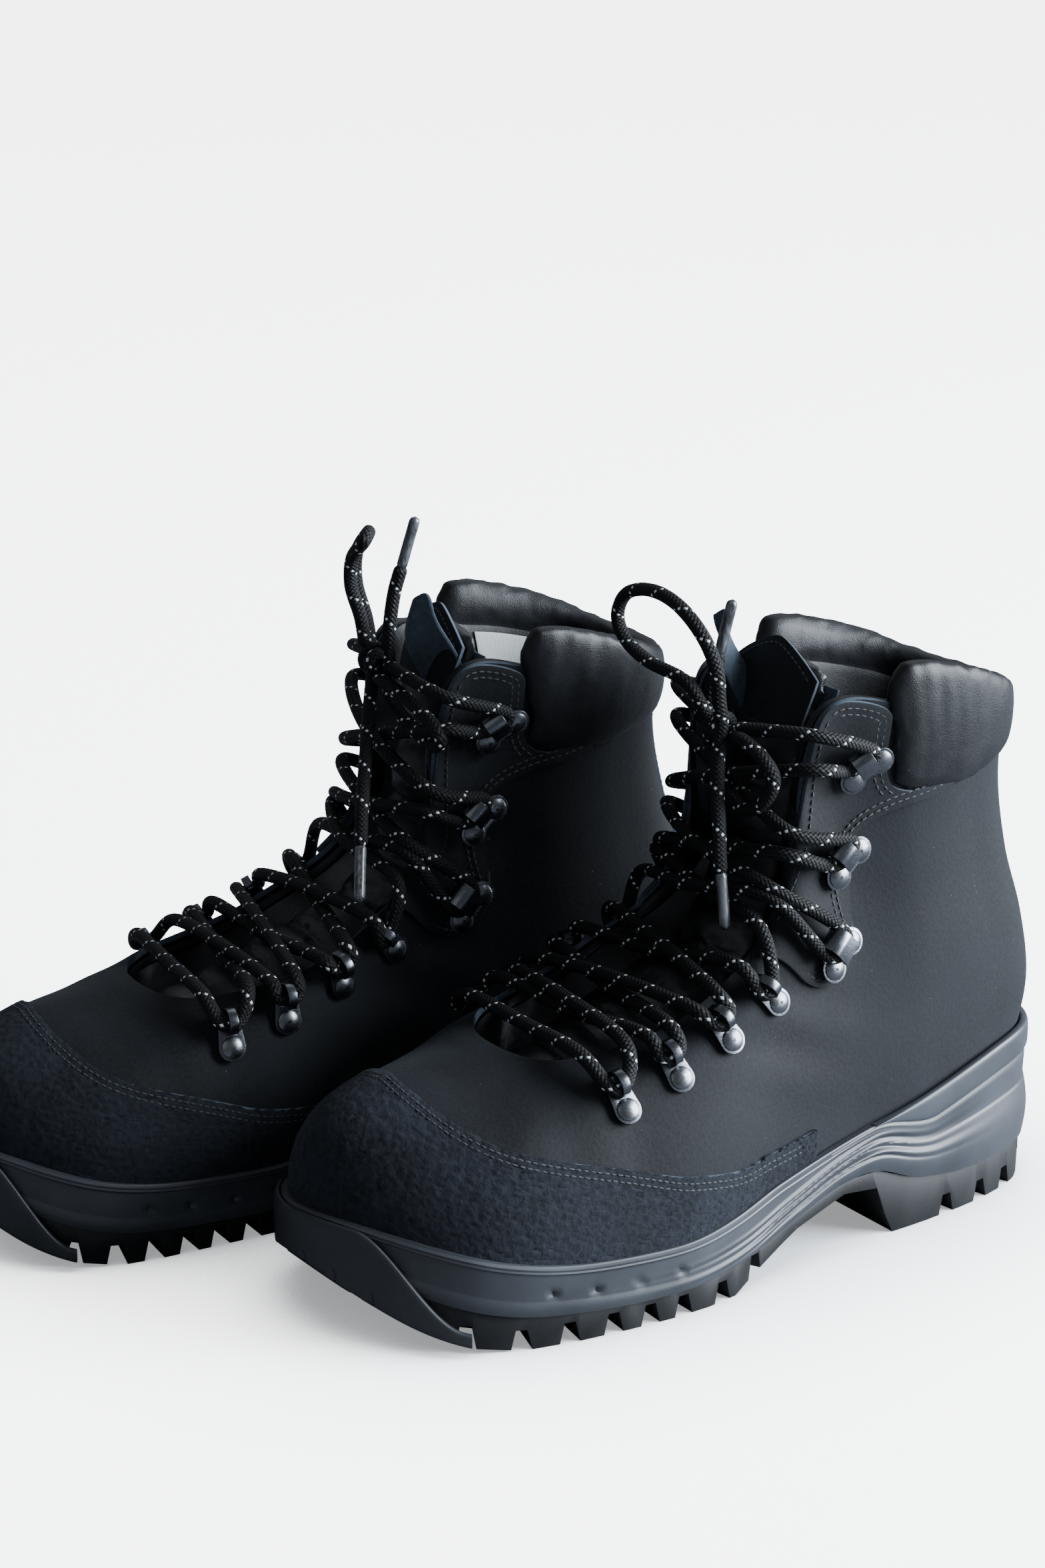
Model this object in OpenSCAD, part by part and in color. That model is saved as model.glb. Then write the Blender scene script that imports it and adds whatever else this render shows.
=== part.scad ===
// A pair of laced mountaineering boots, standing side by side on their soles.
// Each boot is drawn in its own frame: x to the outer side, y to the heel, z up, from the middle of the sole.

/* [Pair] */
// Distance from one boot's long axis to the other's
pair_gap = 120; // [118:1:200]
// How far the right boot stands ahead of the left one
pair_step = 82; // [60:1:100]
// Outward turn of each boot, in degrees
splay = 4.2; // [2:0.1:8]

/* [Sole] */
// Depth of the tread's lugs
lug_depth = 7.5; // [4:0.5:8.5]
// Width of a notch between two edge lugs, at the ground
notch_w = 8; // [5:0.5:9]
// Width of the grooves in the middle of the tread
groove_w = 4.5; // [3:0.5:6]
// Thickness of the midsole's wall
wall_t = 2.2; // [1.6:0.1:2.4]
// Height of the stiff cup at the heel
stabiliser_h = 10; // [6:1:10]
// Thickness of the steel shank
shank_t = 1.4; // [1:0.1:1.6]
// Thickness of the lasting board
board_t = 2.4; // [1.6:0.1:2.6]
// Thickness of the footbed
footbed_t = 5; // [3:0.5:6]

/* [Upper] */
// Thickness of the upper's leather
leather_t = 2; // [1.6:0.1:2]
// Thickness of the stiffeners at the toe and heel
stiffener_t = 1; // [0.6:0.1:1.1]
// Thickness of the lining and its foam
lining_t = 2.8; // [2:0.1:3.2]
// Thickness of the rough leather rand
rand_t = 1.6; // [1.2:0.1:2]
// Thickness of the leather that carries the hooks
facing_t = 1.5; // [1.2:0.1:2]
// Thickness of the padded collar
collar_t = 4; // [3:0.5:5]
// Thickness of the padded tongue
tongue_t = 6; // [4:0.5:7]

/* [Lacing] */
// Diameter of the lace
lace_d = 5; // [4:0.25:5]
// Diameter of a rivet's head
rivet_d = 8; // [7:0.5:9]
// Thickness of the loops' and hooks' base plates
plate_t = 1.4; // [1:0.1:1.6]
// Height of the top of a loop's hole over the leather
loop_h = 7.2; // [7:0.1:7.6]
// Length of a lace tip
aglet_len = 20; // [15:1:25]

/* [Hidden] */
FINE = 48;
NU = 48;
NV = 10;
GAP = 0.25;
LAYER = 0.8;
LOOP_REACH = 9.4;
HOOK_REACH = 7;
HOOK_RISE = LAYER + facing_t + 0.95;
LOOP_RISE = 0.4;
EDGE_H = lace_d / 2 + 2;
// How far each strand over the ankle is pushed forward by the tongue
PUSH = [6, 6, 6];

// Outer face of the upper: nine columns of points from the heel round the outer side to the toe,
// each from the sole's edge up to the edge of the opening.
HALF = [
    [[0, 149, 57], [0, 152, 80], [0, 148, 104], [0, 140, 130], [0, 134, 160], [0, 135, 190]],
    [[22, 141, 56], [24, 143, 79], [24, 139, 104], [24, 131, 130], [25, 126, 160], [27, 127, 193]],
    [[33, 118, 54], [34, 119, 78], [33, 116, 103], [32, 109, 130], [33, 105, 161], [38, 107, 202]],
    [[39, 85, 46], [39, 86, 75], [38, 85, 102], [35, 82, 131], [34, 80, 163], [40, 74, 210]],
    [[42, 48, 38], [41, 50, 70], [36, 52, 100], [30, 50, 131], [28, 47, 166], [34, 37, 208]],
    [[48, 12, 31], [46, 15, 58], [42, 18, 82], [37, 21, 103], [32, 24, 120], [27, 27, 132]],
    [[57, -40, 23], [56, -38, 43], [52, -34, 60], [46, -29, 75], [40, -22, 88], [32, -14, 99]],
    [[44, -112, 30], [44, -109, 46], [41, -102, 59], [37, -91, 69], [31, -77, 79], [24, -60, 88]],
    [[-8, -148, 41], [-8, -146, 58], [-8, -137, 72], [-7, -118, 81], [-5, -96, 85], [-3, -74, 88]]];
// Middle of the foot for each column, at the sole and at the opening, and the inner side's shift
MID_LOW = [0, 0, 0, 0, 1, 3, 3, -3, -8];
MID_TOP = [0, 0, -1, -2, -4, -4, -6, -5, -3];
BALL_SHIFT = [0, 0, 0, 0, 0, -5, -12, 0, 0];
COLUMNS = concat(HALF, [for (k = [7:-1:1]) [for (j = [0:5]) inner_point(k, j)]]);

// Heights of the sole along the boot, as [y, z]: tread, top of the outsole, top of the midsole, and floor
TREAD = [[-158, 32], [-145, 20], [-130, 9], [-112, 2], [-98, 0], [-12, 0], [-4, 4], [20, 15], [44, 21],
    [60, 19], [64, 8], [66, 0], [138, 0], [158, 9]];
OUTSOLE_TOP = [[-158, 40], [-140, 27], [-120, 18], [-100, 13], [-80, 11], [-20, 11], [0, 14], [20, 20],
    [44, 26], [60, 26], [76, 20], [90, 17], [158, 17]];
MIDSOLE_TOP = [[-158, 46], [-148, 45], [-136, 42], [-121, 37.5], [-107, 33.5], [-84, 29], [-60, 27], [-30, 27],
    [-10, 30], [12, 35], [48, 42], [68, 46], [85, 50], [118, 58], [141, 61], [158, 62]];
FLOOR = [[-158, 37], [-136, 33], [-120, 29], [-104, 24], [-84, 21], [-60, 19], [-30, 19], [-10, 22],
    [12, 27], [48, 32], [85, 39], [118, 46], [158, 50]];

// Where the edge lugs are parted, round the outer half of the sole (0 is the heel, 0.5 the toe)
NOTCHES = [0.02, 0.06, 0.10, 0.135, 0.17, 0.332, 0.352, 0.371, 0.384, 0.396, 0.409, 0.423, 0.440, 0.458, 0.474];

// Lacing on the outer half: the rivet of each loop, the top of each loop, the middle of each hook's plate
LOOPS = [[0.398, 0.65], [0.377, 0.685], [0.350, 0.66], [0.319, 0.575]];
LOOP_TOPS = [[0.4125, 0.87], [0.3925, 0.93], [0.368, 0.94], [0.339, 0.84]];
HOOKS = [[0.263, 0.475], [0.2455, 0.65], [0.2255, 0.83]];
HOOK_TOPS = [[0.283, 0.60], [0.263, 0.74], [0.240, 0.90]];
// Where each strand leaves one side's edge and reaches the other's, from the toe up
CROSSINGS = [[0.407, 0.398], [0.387, 0.374], [0.361, 0.346], [0.326, 0.313], [0.309, 0.297], [0.291, 0.274]];

// Lower edge of the facing, upper edge of the rand, as [place round the boot, height up the upper]
FACING_LOW = [[0.2083, 0.82], [0.2188, 0.72], [0.2292, 0.64], [0.2396, 0.53], [0.25, 0.45], [0.2604, 0.40],
    [0.2708, 0.40], [0.2812, 0.45], [0.2917, 0.52], [0.3021, 0.58], [0.3125, 0.66], [0.3229, 0.76]];
RAND_TOP = [[0.29, 0.10], [0.32, 0.12], [0.34, 0.15], [0.36, 0.22], [0.375, 0.28], [0.395, 0.38], [0.415, 0.47],
    [0.435, 0.54], [0.457, 0.595], [0.476, 0.63], [0.50, 0.655]];

// Middle line of the tongue's outer face, as [y, z], and the tongue's half width there
TONGUE = [[-64, 76, 16], [-46, 82, 20], [-24, 90, 24], [-2, 99, 25], [15, 109, 23], [27, 126, 21],
    [33, 146, 20], [37, 166, 20], [40, 186, 22], [46, 204, 24], [52, 216, 20]];
TONGUE_X = -5;

// Free ends of the laces: from the knot round the bow and down to the tip
LEFT_KNOT = [3, 18, 188];
RIGHT_KNOT = [-3, 24, 196];
LEFT_END_A = [[-1, 16, 190], [-8, 11, 203], [-28, 8, 207], [-42, 8, 212], [-47, 8, 220], [-41, 8, 229],
    [-26, 8, 233], [-10, 8, 231], [3, 9, 223], [9, 11, 212], [8, 13, 200], [7, 15, 190], [8, 13, 181],
    [13, 9, 172], [17, 7, 159], [19, 6, 148], [20, 6, 141]];
LEFT_END_B = [[7, 20, 186], [18, 17, 187], [27, 18, 183], [31, 20, 176], [26, 20, 167], [15, 20, 161],
    [6, 19, 166], [0, 17, 176], [-3, 17, 186], [-3, 17, 196], [-2, 18, 206], [0, 19, 215]];
RIGHT_END_A = [[-1, 21, 200], [6, 22, 210], [15, 22, 220], [13, 22, 231], [2, 22, 239], [9, 27, 241],
    [21, 27, 231], [22, 27, 219], [13, 27, 208], [4, 25, 199], [-4, 22, 190], [-13, 17, 180], [-28, 9, 164],
    [-39, 3, 150], [-45, 0, 139]];
RIGHT_END_B = [[-8, 22, 191], [-24, 25, 188], [-40, 29, 182], [-46, 31, 177], [-41, 31, 172], [-27, 28, 176],
    [-13, 26, 183], [-8, 27, 195], [-7, 28, 208], [-7, 30, 221], [-10, 32, 232]];

// ---- Curves and the upper's surface ----

// A smooth curve through b and c, with a and d as the points before and after them
function through(a, b, c, d, t) =
    0.5 * (2 * b + (c - a) * t + (2 * a - 5 * b + 4 * c - d) * t * t + (3 * b - a - 3 * c + d) * t * t * t);

// The inner side mirrors the outer one about the middle of the foot
function inner_point(k, j) = let (v = j / 5, p = HALF[k][j], mid = MID_LOW[k] * (1 - v) + MID_TOP[k] * v)
    [2 * mid - p.x, p.y + BALL_SHIFT[k] * (1 - v), p.z];

function level(c, j) = j < 0 ? 2 * c[0] - c[1] : j > 5 ? 2 * c[5] - c[4] : c[j];

function on_column(c, v) = let (b = min(max(v, 0), 1) * 5, j = min(floor(b), 4))
    through(level(c, j - 1), level(c, j), level(c, j + 1), level(c, j + 2), b - j);

function column(k) = COLUMNS[(k + 32) % 16];

// A point of the upper: u goes round from the heel by the outer side, v from the sole to the opening
function skin(u, v) = let (a = (u + 1) * 16, k = floor(a) - 16)
    through(on_column(column(k - 1), v), on_column(column(k), v), on_column(column(k + 1), v),
        on_column(column(k + 2), v), a - floor(a));

function unit(p) = p / norm(p);

function skin_normal(u, v) = let (w = min(max(v, 0.02), 0.98),
    along = skin(u + 0.004, w) - skin(u - 0.004, w), up = skin(u, w + 0.02) - skin(u, w - 0.02))
    unit(cross(up, along));

// A point off the upper's face, outward where the depth is negative
function layer_point(u, v, depth) = skin(u, v) - depth * skin_normal(u, v);

// The same place on either half, so that an inner piece mirrors its outer one
function outer_half(u) = let (w = (u + 1) % 1) min(w, 1 - w);

// The sole's outline, moved out by off
function sole_outline(off) = [for (i = [0:63]) let (p = skin(i / 64, 0), n = skin_flat_normal(i / 64))
    [p.x + off * n.x, p.y + off * n.y]];

function skin_flat_normal(u) = let (a = skin(u + 0.004, 0), b = skin(u - 0.004, 0))
    unit([b.y - a.y, a.x - b.x]);

// ---- Solids made from the surface ----

// A closed skin between two depths, over part of the way round and between two edges
module leather(u0, u1, nu, nv, low, high, outer, inner) {
    whole = u1 - u0 >= 1;
    last = whole ? nu - 1 : nu;
    rows = nv + 1;
    side = (last + 1) * rows;
    points = [for (depth = [outer, inner]) for (i = [0:last]) for (j = [0:nv])
        let (u = u0 + (u1 - u0) * i / nu, a = low(u), b = high(u)) layer_point(u, a + (b - a) * j / nv, depth)];
    function at(l, i, j) = l * side + (i % (last + 1)) * rows + j;
    function quad(a, b, c, d) = [[a, b, c], [a, c, d]];
    faces = [for (i = [0:nu - 1]) each concat(
        [for (j = [0:nv - 1]) each quad(at(0, i, j), at(0, i + 1, j), at(0, i + 1, j + 1), at(0, i, j + 1))],
        [for (j = [0:nv - 1]) each [[at(1, i, j), at(1, i + 1, j + 1), at(1, i + 1, j)],
            [at(1, i, j), at(1, i, j + 1), at(1, i + 1, j + 1)]]],
        quad(at(0, i, 0), at(1, i, 0), at(1, i + 1, 0), at(0, i + 1, 0)),
        quad(at(0, i, nv), at(0, i + 1, nv), at(1, i + 1, nv), at(1, i, nv)))];
    ends = whole ? [] : [for (j = [0:nv - 1]) each concat(
        quad(at(0, 0, j), at(0, 0, j + 1), at(1, 0, j + 1), at(1, 0, j)),
        quad(at(0, nu, j + 1), at(0, nu, j), at(1, nu, j), at(1, nu, j + 1)))];
    polyhedron(points, concat(faces, ends));
}

// A tube along a list of points, with flat ends
module tube(route, d, sides = 8) {
    n = len(route);
    function way(i) = unit(route[min(i + 1, n - 1)] - route[max(i - 1, 0)]);
    function turned(p, a, b) = let (c = cross(a, b), s = norm(c))
        s < 0.0001 ? p : let (k = c / s, q = a * b) p * q + cross(k, p) * s + k * (k * p) * (1 - q);
    start = unit(cross(way(0), abs(way(0).z) < 0.9 ? [0, 0, 1] : [1, 0, 0]));
    across = [for (i = 0, p = start; i < n; i = i + 1, p = i < n ? turned(p, way(i - 1), way(i)) : p) p];
    rings = [for (i = [0:n - 1]) for (s = [0:sides - 1]) let (t = way(i), p = across[i], q = cross(t, p))
        route[i] + d / 2 * (cos(360 * s / sides) * p + sin(360 * s / sides) * q)];
    walls = [for (i = [0:n - 2]) for (s = [0:sides - 1]) let (e = (s + 1) % sides, a = i * sides, b = a + sides)
        each [[a + s, b + s, b + e], [a + s, b + e, a + e]]];
    polyhedron(rings, concat([[for (s = [0:sides - 1]) s]], walls,
        [[for (s = [sides - 1:-1:0]) (n - 1) * sides + s]]));
}

// Points on the smooth curve through a route, with so many steps between two of its points
function smooth_route(route, steps) = let (n = len(route)) concat(
    [for (i = [0:n - 2]) for (s = [0:steps - 1])
        let (a = i > 0 ? route[i - 1] : 2 * route[0] - route[1],
            d = i < n - 2 ? route[i + 2] : 2 * route[n - 1] - route[n - 2])
        through(a, route[i], route[i + 1], d, s / steps)], [route[n - 1]]);

// A slab across the sole between two height lines, within the outline moved out by off
module sole_slab(off, low, high, low_add = 0, high_add = 0, from = -160, to = 160) {
    ys = [for (y = [from:4:to]) y];
    profile = concat([for (y = ys) [y, lookup(y, low) + low_add]],
        [for (i = [len(ys) - 1:-1:0]) [ys[i], lookup(ys[i], high) + high_add]]);
    intersection() {
        translate([0, 0, -5]) linear_extrude(120) polygon(sole_outline(off));
        translate([-70, 0, 0]) rotate([90, 0, 90]) linear_extrude(140) polygon(profile);
    }
}

// Stands its children on the upper at place, with y towards target and z out of the leather
module on_skin(place, target, side) {
    u = side > 0 ? place[0] : 1 - place[0];
    w = side > 0 ? target[0] : 1 - target[0];
    z = skin_normal(u, place[1]);
    x = unit(cross(skin(w, target[1]) - skin(u, place[1]), z));
    y = cross(z, x);
    o = layer_point(u, place[1], -2 * GAP);
    multmatrix([[x.x, y.x, z.x, o.x], [x.y, y.y, z.y, o.y], [x.z, y.z, z.z, o.z], [0, 0, 0, 1]]) children();
}

// ---- Sole ----

// Wedge that parts two edge lugs, cut inward from the sole's edge
module notch(u, reach) {
    p = skin(u, 0);
    n = skin_flat_normal(u);
    translate([p.x, p.y, 0]) rotate([0, 0, atan2(n.y, n.x)]) translate([9, 0, 0]) rotate([90, 0, -90])
        linear_extrude(reach + 9) polygon([[-notch_w / 2, -1], [notch_w / 2, -1],
            [notch_w / 4, tread_at(p.y) + lug_depth], [-notch_w / 4, tread_at(p.y) + lug_depth]]);
}

function tread_at(y) = lookup(y, TREAD);

module groove_x(y, x0, x1) translate([x0, y - groove_w / 2, -1]) cube([x1 - x0, groove_w, lug_depth]);

module groove_y(x, y0, y1) translate([x - groove_w / 2, y0, -1]) cube([groove_w, y1 - y0, lug_depth]);

module outsole() color("#1d1f22") difference() {
    sole_slab(2.2, TREAD, OUTSOLE_TOP, 0, -GAP);
    for (u = NOTCHES) {
        notch(u, u < 0.2 ? 14 : 17);
        notch(1 - u, u < 0.2 ? 14 : 17);
    }
    for (i = [0:5]) groove_x(-106 + 17 * i, -22, 20);
    for (y = [82, 98, 114, 130]) groove_x(y, -12, 12);
    for (x = [22, -24]) groove_y(x, -112, -14);
}

module toe_bumper() color("#232629") difference() {
    sole_slab(6.6, TREAD, MIDSOLE_TOP, 6, -1, -160, -104);
    translate([0, 0, -6]) linear_extrude(130) polygon(sole_outline(4.3));
}

module midsole() color("#2e3237") difference() {
    union() {
        sole_slab(4, OUTSOLE_TOP, FLOOR, 0, 0);
        sole_slab(4, FLOOR, MIDSOLE_TOP, -1, 0, -160, 64);
        sole_slab(4, FLOOR, MIDSOLE_TOP, -1, -stabiliser_h - GAP, 64, 160);
    }
    sole_slab(4 - wall_t, FLOOR, MIDSOLE_TOP, 0, 20);
    shank_space(GAP);
}

module heel_stabiliser() color("#3a3f45") difference() {
    sole_slab(4, MIDSOLE_TOP, MIDSOLE_TOP, -stabiliser_h, 0, 64, 160);
    translate([0, 0, -6]) linear_extrude(130) polygon(sole_outline(4 - wall_t));
}

module shank_space(room) intersection() {
    translate([-11 - room, -36 - room, 0]) cube([20 + 2 * room, 124 + 2 * room, 80]);
    sole_slab(0, FLOOR, FLOOR, -shank_t - 2 * room, room > 0 ? 1 : -room);
}

module shank() color("silver") intersection() {
    translate([-11, -36, 0]) cube([20, 124, 80]);
    sole_slab(0, FLOOR, FLOOR, -shank_t - GAP, -GAP);
}

module lasting_board() color("#8a7a60")
    sole_slab(-3.2, FLOOR, FLOOR, GAP, GAP + board_t);

module footbed() color("#4a4f55")
    sole_slab(-8.5, FLOOR, FLOOR, board_t + 3 * GAP, board_t + 3 * GAP + footbed_t);

// ---- Upper ----

module toe_puff() color("#5a5044") leather(21 / 48, 27 / 48, 6, 6, function(u) 0.1, function(u) 0.7,
    leather_t + GAP, leather_t + GAP + stiffener_t);

module heel_counter() color("#5a5044") leather(-5 / 48, 5 / 48, 10, 4, function(u) 0.1, function(u) 0.5,
    leather_t + GAP, leather_t + GAP + stiffener_t);

module upper() color("#212427") leather(0, 1, NU, NV, function(u) 0, function(u) 1, 0, leather_t);

module lining() color("#2b2d31") leather(0, 1, NU, NV, function(u) 0.1, function(u) 1,
    leather_t + stiffener_t + 2 * GAP, leather_t + stiffener_t + 2 * GAP + lining_t);

module rand() color("#26282b") leather(14 / 48, 34 / 48, 20, 4, function(u) 0.09,
    function(u) lookup(outer_half(u), RAND_TOP), -LAYER - rand_t, -LAYER);

module facing_outer() color("#1c1e21") leather(0.2083, 0.3229, 11, 4,
    function(u) lookup(u, FACING_LOW), function(u) 1, -LAYER - facing_t, -LAYER);

module facing_inner() color("#1c1e21") leather(0.6771, 0.7917, 11, 4,
    function(u) lookup(1 - u, FACING_LOW), function(u) 1, -LAYER - facing_t, -LAYER);

module backstay() color("#1c1e21") leather(-0.025, 0.025, 2, 6, function(u) 0.1, function(u) 0.76,
    -LAYER - 1.2, -LAYER);

module collar() color("#33363c") leather(-0.195, 0.195, 20, 3, function(u) 0.81, function(u) 1,
    -LAYER - collar_t, -LAYER);

// ---- Tongue ----

// A band that follows the tongue's line over some of its stations, between two heights off its face
module tongue_band(first, last, share, top, bottom) {
    stations = [for (i = [first:last]) TONGUE[i]];
    n = len(stations);
    cols = 6;
    function slope(i) = let (a = TONGUE[max(first + i - 1, 0)], b = TONGUE[min(first + i + 1, len(TONGUE) - 1)])
        unit([b.x - a.x, b.y - a.y]);
    function spot(i, j, h) = let (s = stations[i], t = slope(i), k = 2 * j / cols - 1, f = h - 4 * pow(k * share, 2))
        [TONGUE_X + k * s.z * share, s.x - t.y * f, s.y + t.x * f];
    points = [for (h = [top, bottom]) for (i = [0:n - 1]) for (j = [0:cols]) spot(i, j, h)];
    side = n * (cols + 1);
    function at(l, i, j) = l * side + i * (cols + 1) + j;
    function quad(a, b, c, d) = [[a, b, c], [a, c, d]];
    polyhedron(points, [for (i = [0:n - 2]) each concat(
        [for (j = [0:cols - 1]) each concat(
            quad(at(0, i, j), at(0, i + 1, j), at(0, i + 1, j + 1), at(0, i, j + 1)),
            [[at(1, i, j), at(1, i + 1, j + 1), at(1, i + 1, j)], [at(1, i, j), at(1, i, j + 1), at(1, i + 1, j + 1)]])],
        quad(at(0, i, 0), at(1, i, 0), at(1, i + 1, 0), at(0, i + 1, 0)),
        quad(at(0, i, cols), at(0, i + 1, cols), at(1, i + 1, cols), at(1, i, cols)),
        i == 0 ? [for (j = [0:cols - 1]) each quad(at(0, 0, j), at(0, 0, j + 1), at(1, 0, j + 1), at(1, 0, j))] : [],
        i == n - 2 ? [for (j = [0:cols - 1])
            each quad(at(0, n - 1, j + 1), at(0, n - 1, j), at(1, n - 1, j), at(1, n - 1, j + 1))] : [])]);
}

module tongue() color("#2a2c30") tongue_band(0, 9, 1, 0, -tongue_t);

module tongue_patch() color("#1d1f22") tongue_band(8, 10, 0.95, 1.8, GAP);

module tongue_gusset() color("#39414b") tongue_band(1, 8, 0.86, -tongue_t - GAP, -tongue_t - GAP - 1);

// ---- Lacing hardware ----

module loop_plate() linear_extrude(plate_t) difference() {
    union() {
        circle(5, $fn = FINE);
        translate([0, LOOP_REACH]) circle(4, $fn = FINE);
        polygon([[-5, 0], [5, 0], [4, LOOP_REACH], [-4, LOOP_REACH]]);
    }
    circle(1.5, $fn = FINE);
}

// Side view of an arch with the lace's centre in the middle of its round top
module arch(r, foot) {
    translate([0, loop_h - lace_d / 2 - 0.4]) circle(r, $fn = FINE);
    translate([-r, foot]) square([2 * r, loop_h - lace_d / 2 - 0.4 - foot]);
}

// One cast loop: a teardrop plate with an arch that the lace runs through
module lace_loop() {
    loop_plate();
    translate([-1.6, LOOP_REACH, 0]) rotate([90, 0, 90]) linear_extrude(3.2) difference() {
        arch(lace_d / 2 + 2.4, 1);
        arch(lace_d / 2 + 0.4, 0);
    }
}

module rivet() {
    translate([0, 0, plate_t + GAP / 2]) intersection() {
        translate([0, 0, 1.4 - rivet_d]) sphere(rivet_d, $fn = FINE);
        cylinder(h = 3, d = rivet_d, $fn = FINE);
    }
    translate([0, 0, 0.1]) cylinder(h = plate_t + GAP, d = 2.6, $fn = FINE);
}

// Base plate with two rivet holes, 12 mm apart across the way the lace pulls
module hook_plate() linear_extrude(plate_t) difference() {
    union() {
        for (s = [-1, 1]) translate([6 * s, 0]) circle(5, $fn = FINE);
        polygon([[-6, -3], [6, -3], [6, 3], [4, 7], [-4, 7], [-6, 3]]);
    }
    for (s = [-1, 1]) translate([6 * s, 0]) circle(1.5, $fn = FINE);
}

// The bent tongue of a hook, seen from its side: up, over the lace and back to the rivets
module hook_arm(w, reach) translate([-w / 2, 0, 0]) rotate([90, 0, 90]) linear_extrude(w)
    difference() {
        union() {
            translate([7, 4.6]) circle(4.6, $fn = FINE);
            polygon([[7, 7.6], [7, 9.2], [7 - reach, 8.2], [7 - reach, 6.8]]);
        }
        translate([7, 4.6]) circle(3.2, $fn = FINE);
        polygon([[-6, plate_t], [7, plate_t], [7, 7.4], [-6, 6]]);
    }

module locking_hook() {
    hook_plate();
    hook_arm(9, 6);
}

module speed_hook() {
    hook_plate();
    hook_arm(7.5, 5);
}

module each_loop() for (side = [1, -1]) for (i = [0:3])
    on_skin(LOOPS[i], LOOP_TOPS[i], side) translate([0, 0, LOOP_RISE]) children();

// The hooks stand on the facing, so they sit a facing's thickness higher
module each_hook(first, last) for (side = [1, -1]) for (i = [first:last])
    on_skin(HOOKS[i], HOOK_TOPS[i], side) translate([0, 0, HOOK_RISE]) children();

module lace_loops() color("#8f959b") each_loop() lace_loop();

module loop_rivets() color("#a7abb0") each_loop() rivet();

module locking_hooks() color("#8f959b") each_hook(0, 0) locking_hook();

module speed_hooks() color("#8f959b") each_hook(1, 2) speed_hook();

module hook_rivets() color("#a7abb0") each_hook(0, 2) for (s = [-1, 1]) translate([6 * s, 0, 0]) rivet();

// ---- Lace ----

// Where the lace passes each loop and hook: a point ahead of it and one behind it, along the opening's edge
function pass(place, target, side, reach, height, ahead) = let (
    u = side > 0 ? place[0] : 1 - place[0], w = side > 0 ? target[0] : 1 - target[0],
    z = skin_normal(u, place[1]), x = unit(cross(skin(w, target[1]) - skin(u, place[1]), z)), y = cross(z, x))
    layer_point(u, place[1], -2 * GAP) + reach * y + height * z + side * ahead * x;

function loop_pass(i, side) = [for (a = [-3.5, 3.5])
    pass(LOOPS[i], LOOP_TOPS[i], side, LOOP_REACH, LOOP_RISE + loop_h - lace_d / 2 - 0.4, a)];

function hook_pass(i, side) = [for (a = [-5.5, 5.5])
    pass(HOOKS[i], HOOK_TOPS[i], side, HOOK_REACH, HOOK_RISE + 4.6, a)];

// Where a strand lies just before the opening's edge, so far off the leather
function edge_point(u, side, height) = layer_point(side > 0 ? u : 1 - u, 0.98, -height) + [0, -2.5, 0.5];

// The lace's way over the tongue, from the edge beside one fitting to the edge beside the next, with the
// middle pushed out so that crossing strands clear each other
function across(places, side, height, push) = let (
    a = edge_point(places[0], -side, height), b = edge_point(places[1], side, height))
    [a, (a + b) / 2 + push, b];

// One half of the lacing, from the first loop on one side up to the knot, changing sides at each step
function climb(side, lift, knot) = concat(
    [for (i = [0:3]) let (s = side * (i % 2 == 0 ? 1 : -1)) each concat(
        i > 0 ? across(CROSSINGS[i - 1], s, EDGE_H, lift * [0, -0.4, 1]) : [],
        loop_pass(i, s))],
    [for (i = [0:2]) let (s = side * (i % 2 == 0 ? 1 : -1)) each concat(
        across(CROSSINGS[3 + i], s, EDGE_H + facing_t, (PUSH[i] + lift) * [0, -1, 0.2]),
        hook_pass(i, s))],
    [edge_point(0.264, side, EDGE_H + facing_t), knot]);

function backwards(list) = [for (i = [len(list) - 1:-1:0]) list[i]];

function lacing(knot) = concat(backwards(climb(1, 2.7, knot + [5, 2, 1])),
    across([0.428, 0.428], -1, EDGE_H, [0, 0, 0]), climb(-1, -2.7, knot + [-5, 2, -1]));

module lace(knot) color("#17181a") tube(smooth_route(lacing(knot), 2), lace_d);

module lace_knot(knot) color("#17181a") translate(knot) rotate([0, 90, 0])
    rotate_extrude($fn = FINE) polygon([[0, -7], [4, -7], [6.5, -3], [6.5, 3], [4, 7], [0, 7]]);

module lace_end(route) color("#17181a") tube(smooth_route(route, 2), lace_d);

// A stiff tip that carries on from the end of a lace
module aglet(route) {
    run = smooth_route(route, 2);
    n = len(run);
    way = unit(run[n - 1] - run[n - 2]);
    color("#9a9da0") tube([run[n - 1] + 0.1 * way, run[n - 1] + aglet_len / 2 * way,
        run[n - 1] + aglet_len * way], 4, 12);
}

module size_label() color("white") leather(0.105, 0.185, 4, 2, function(u) 0.80, function(u) 0.94,
    leather_t + stiffener_t + lining_t + 4 * GAP, leather_t + stiffener_t + lining_t + 4 * GAP + 0.5);

// ---- The two boots ----

module left() translate([pair_gap / 2, pair_step / 2, 0]) rotate([0, 0, splay]) children();

module right() translate([-pair_gap / 2, -pair_step / 2, 0]) rotate([0, 0, -splay]) mirror([1, 0, 0]) children();

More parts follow.
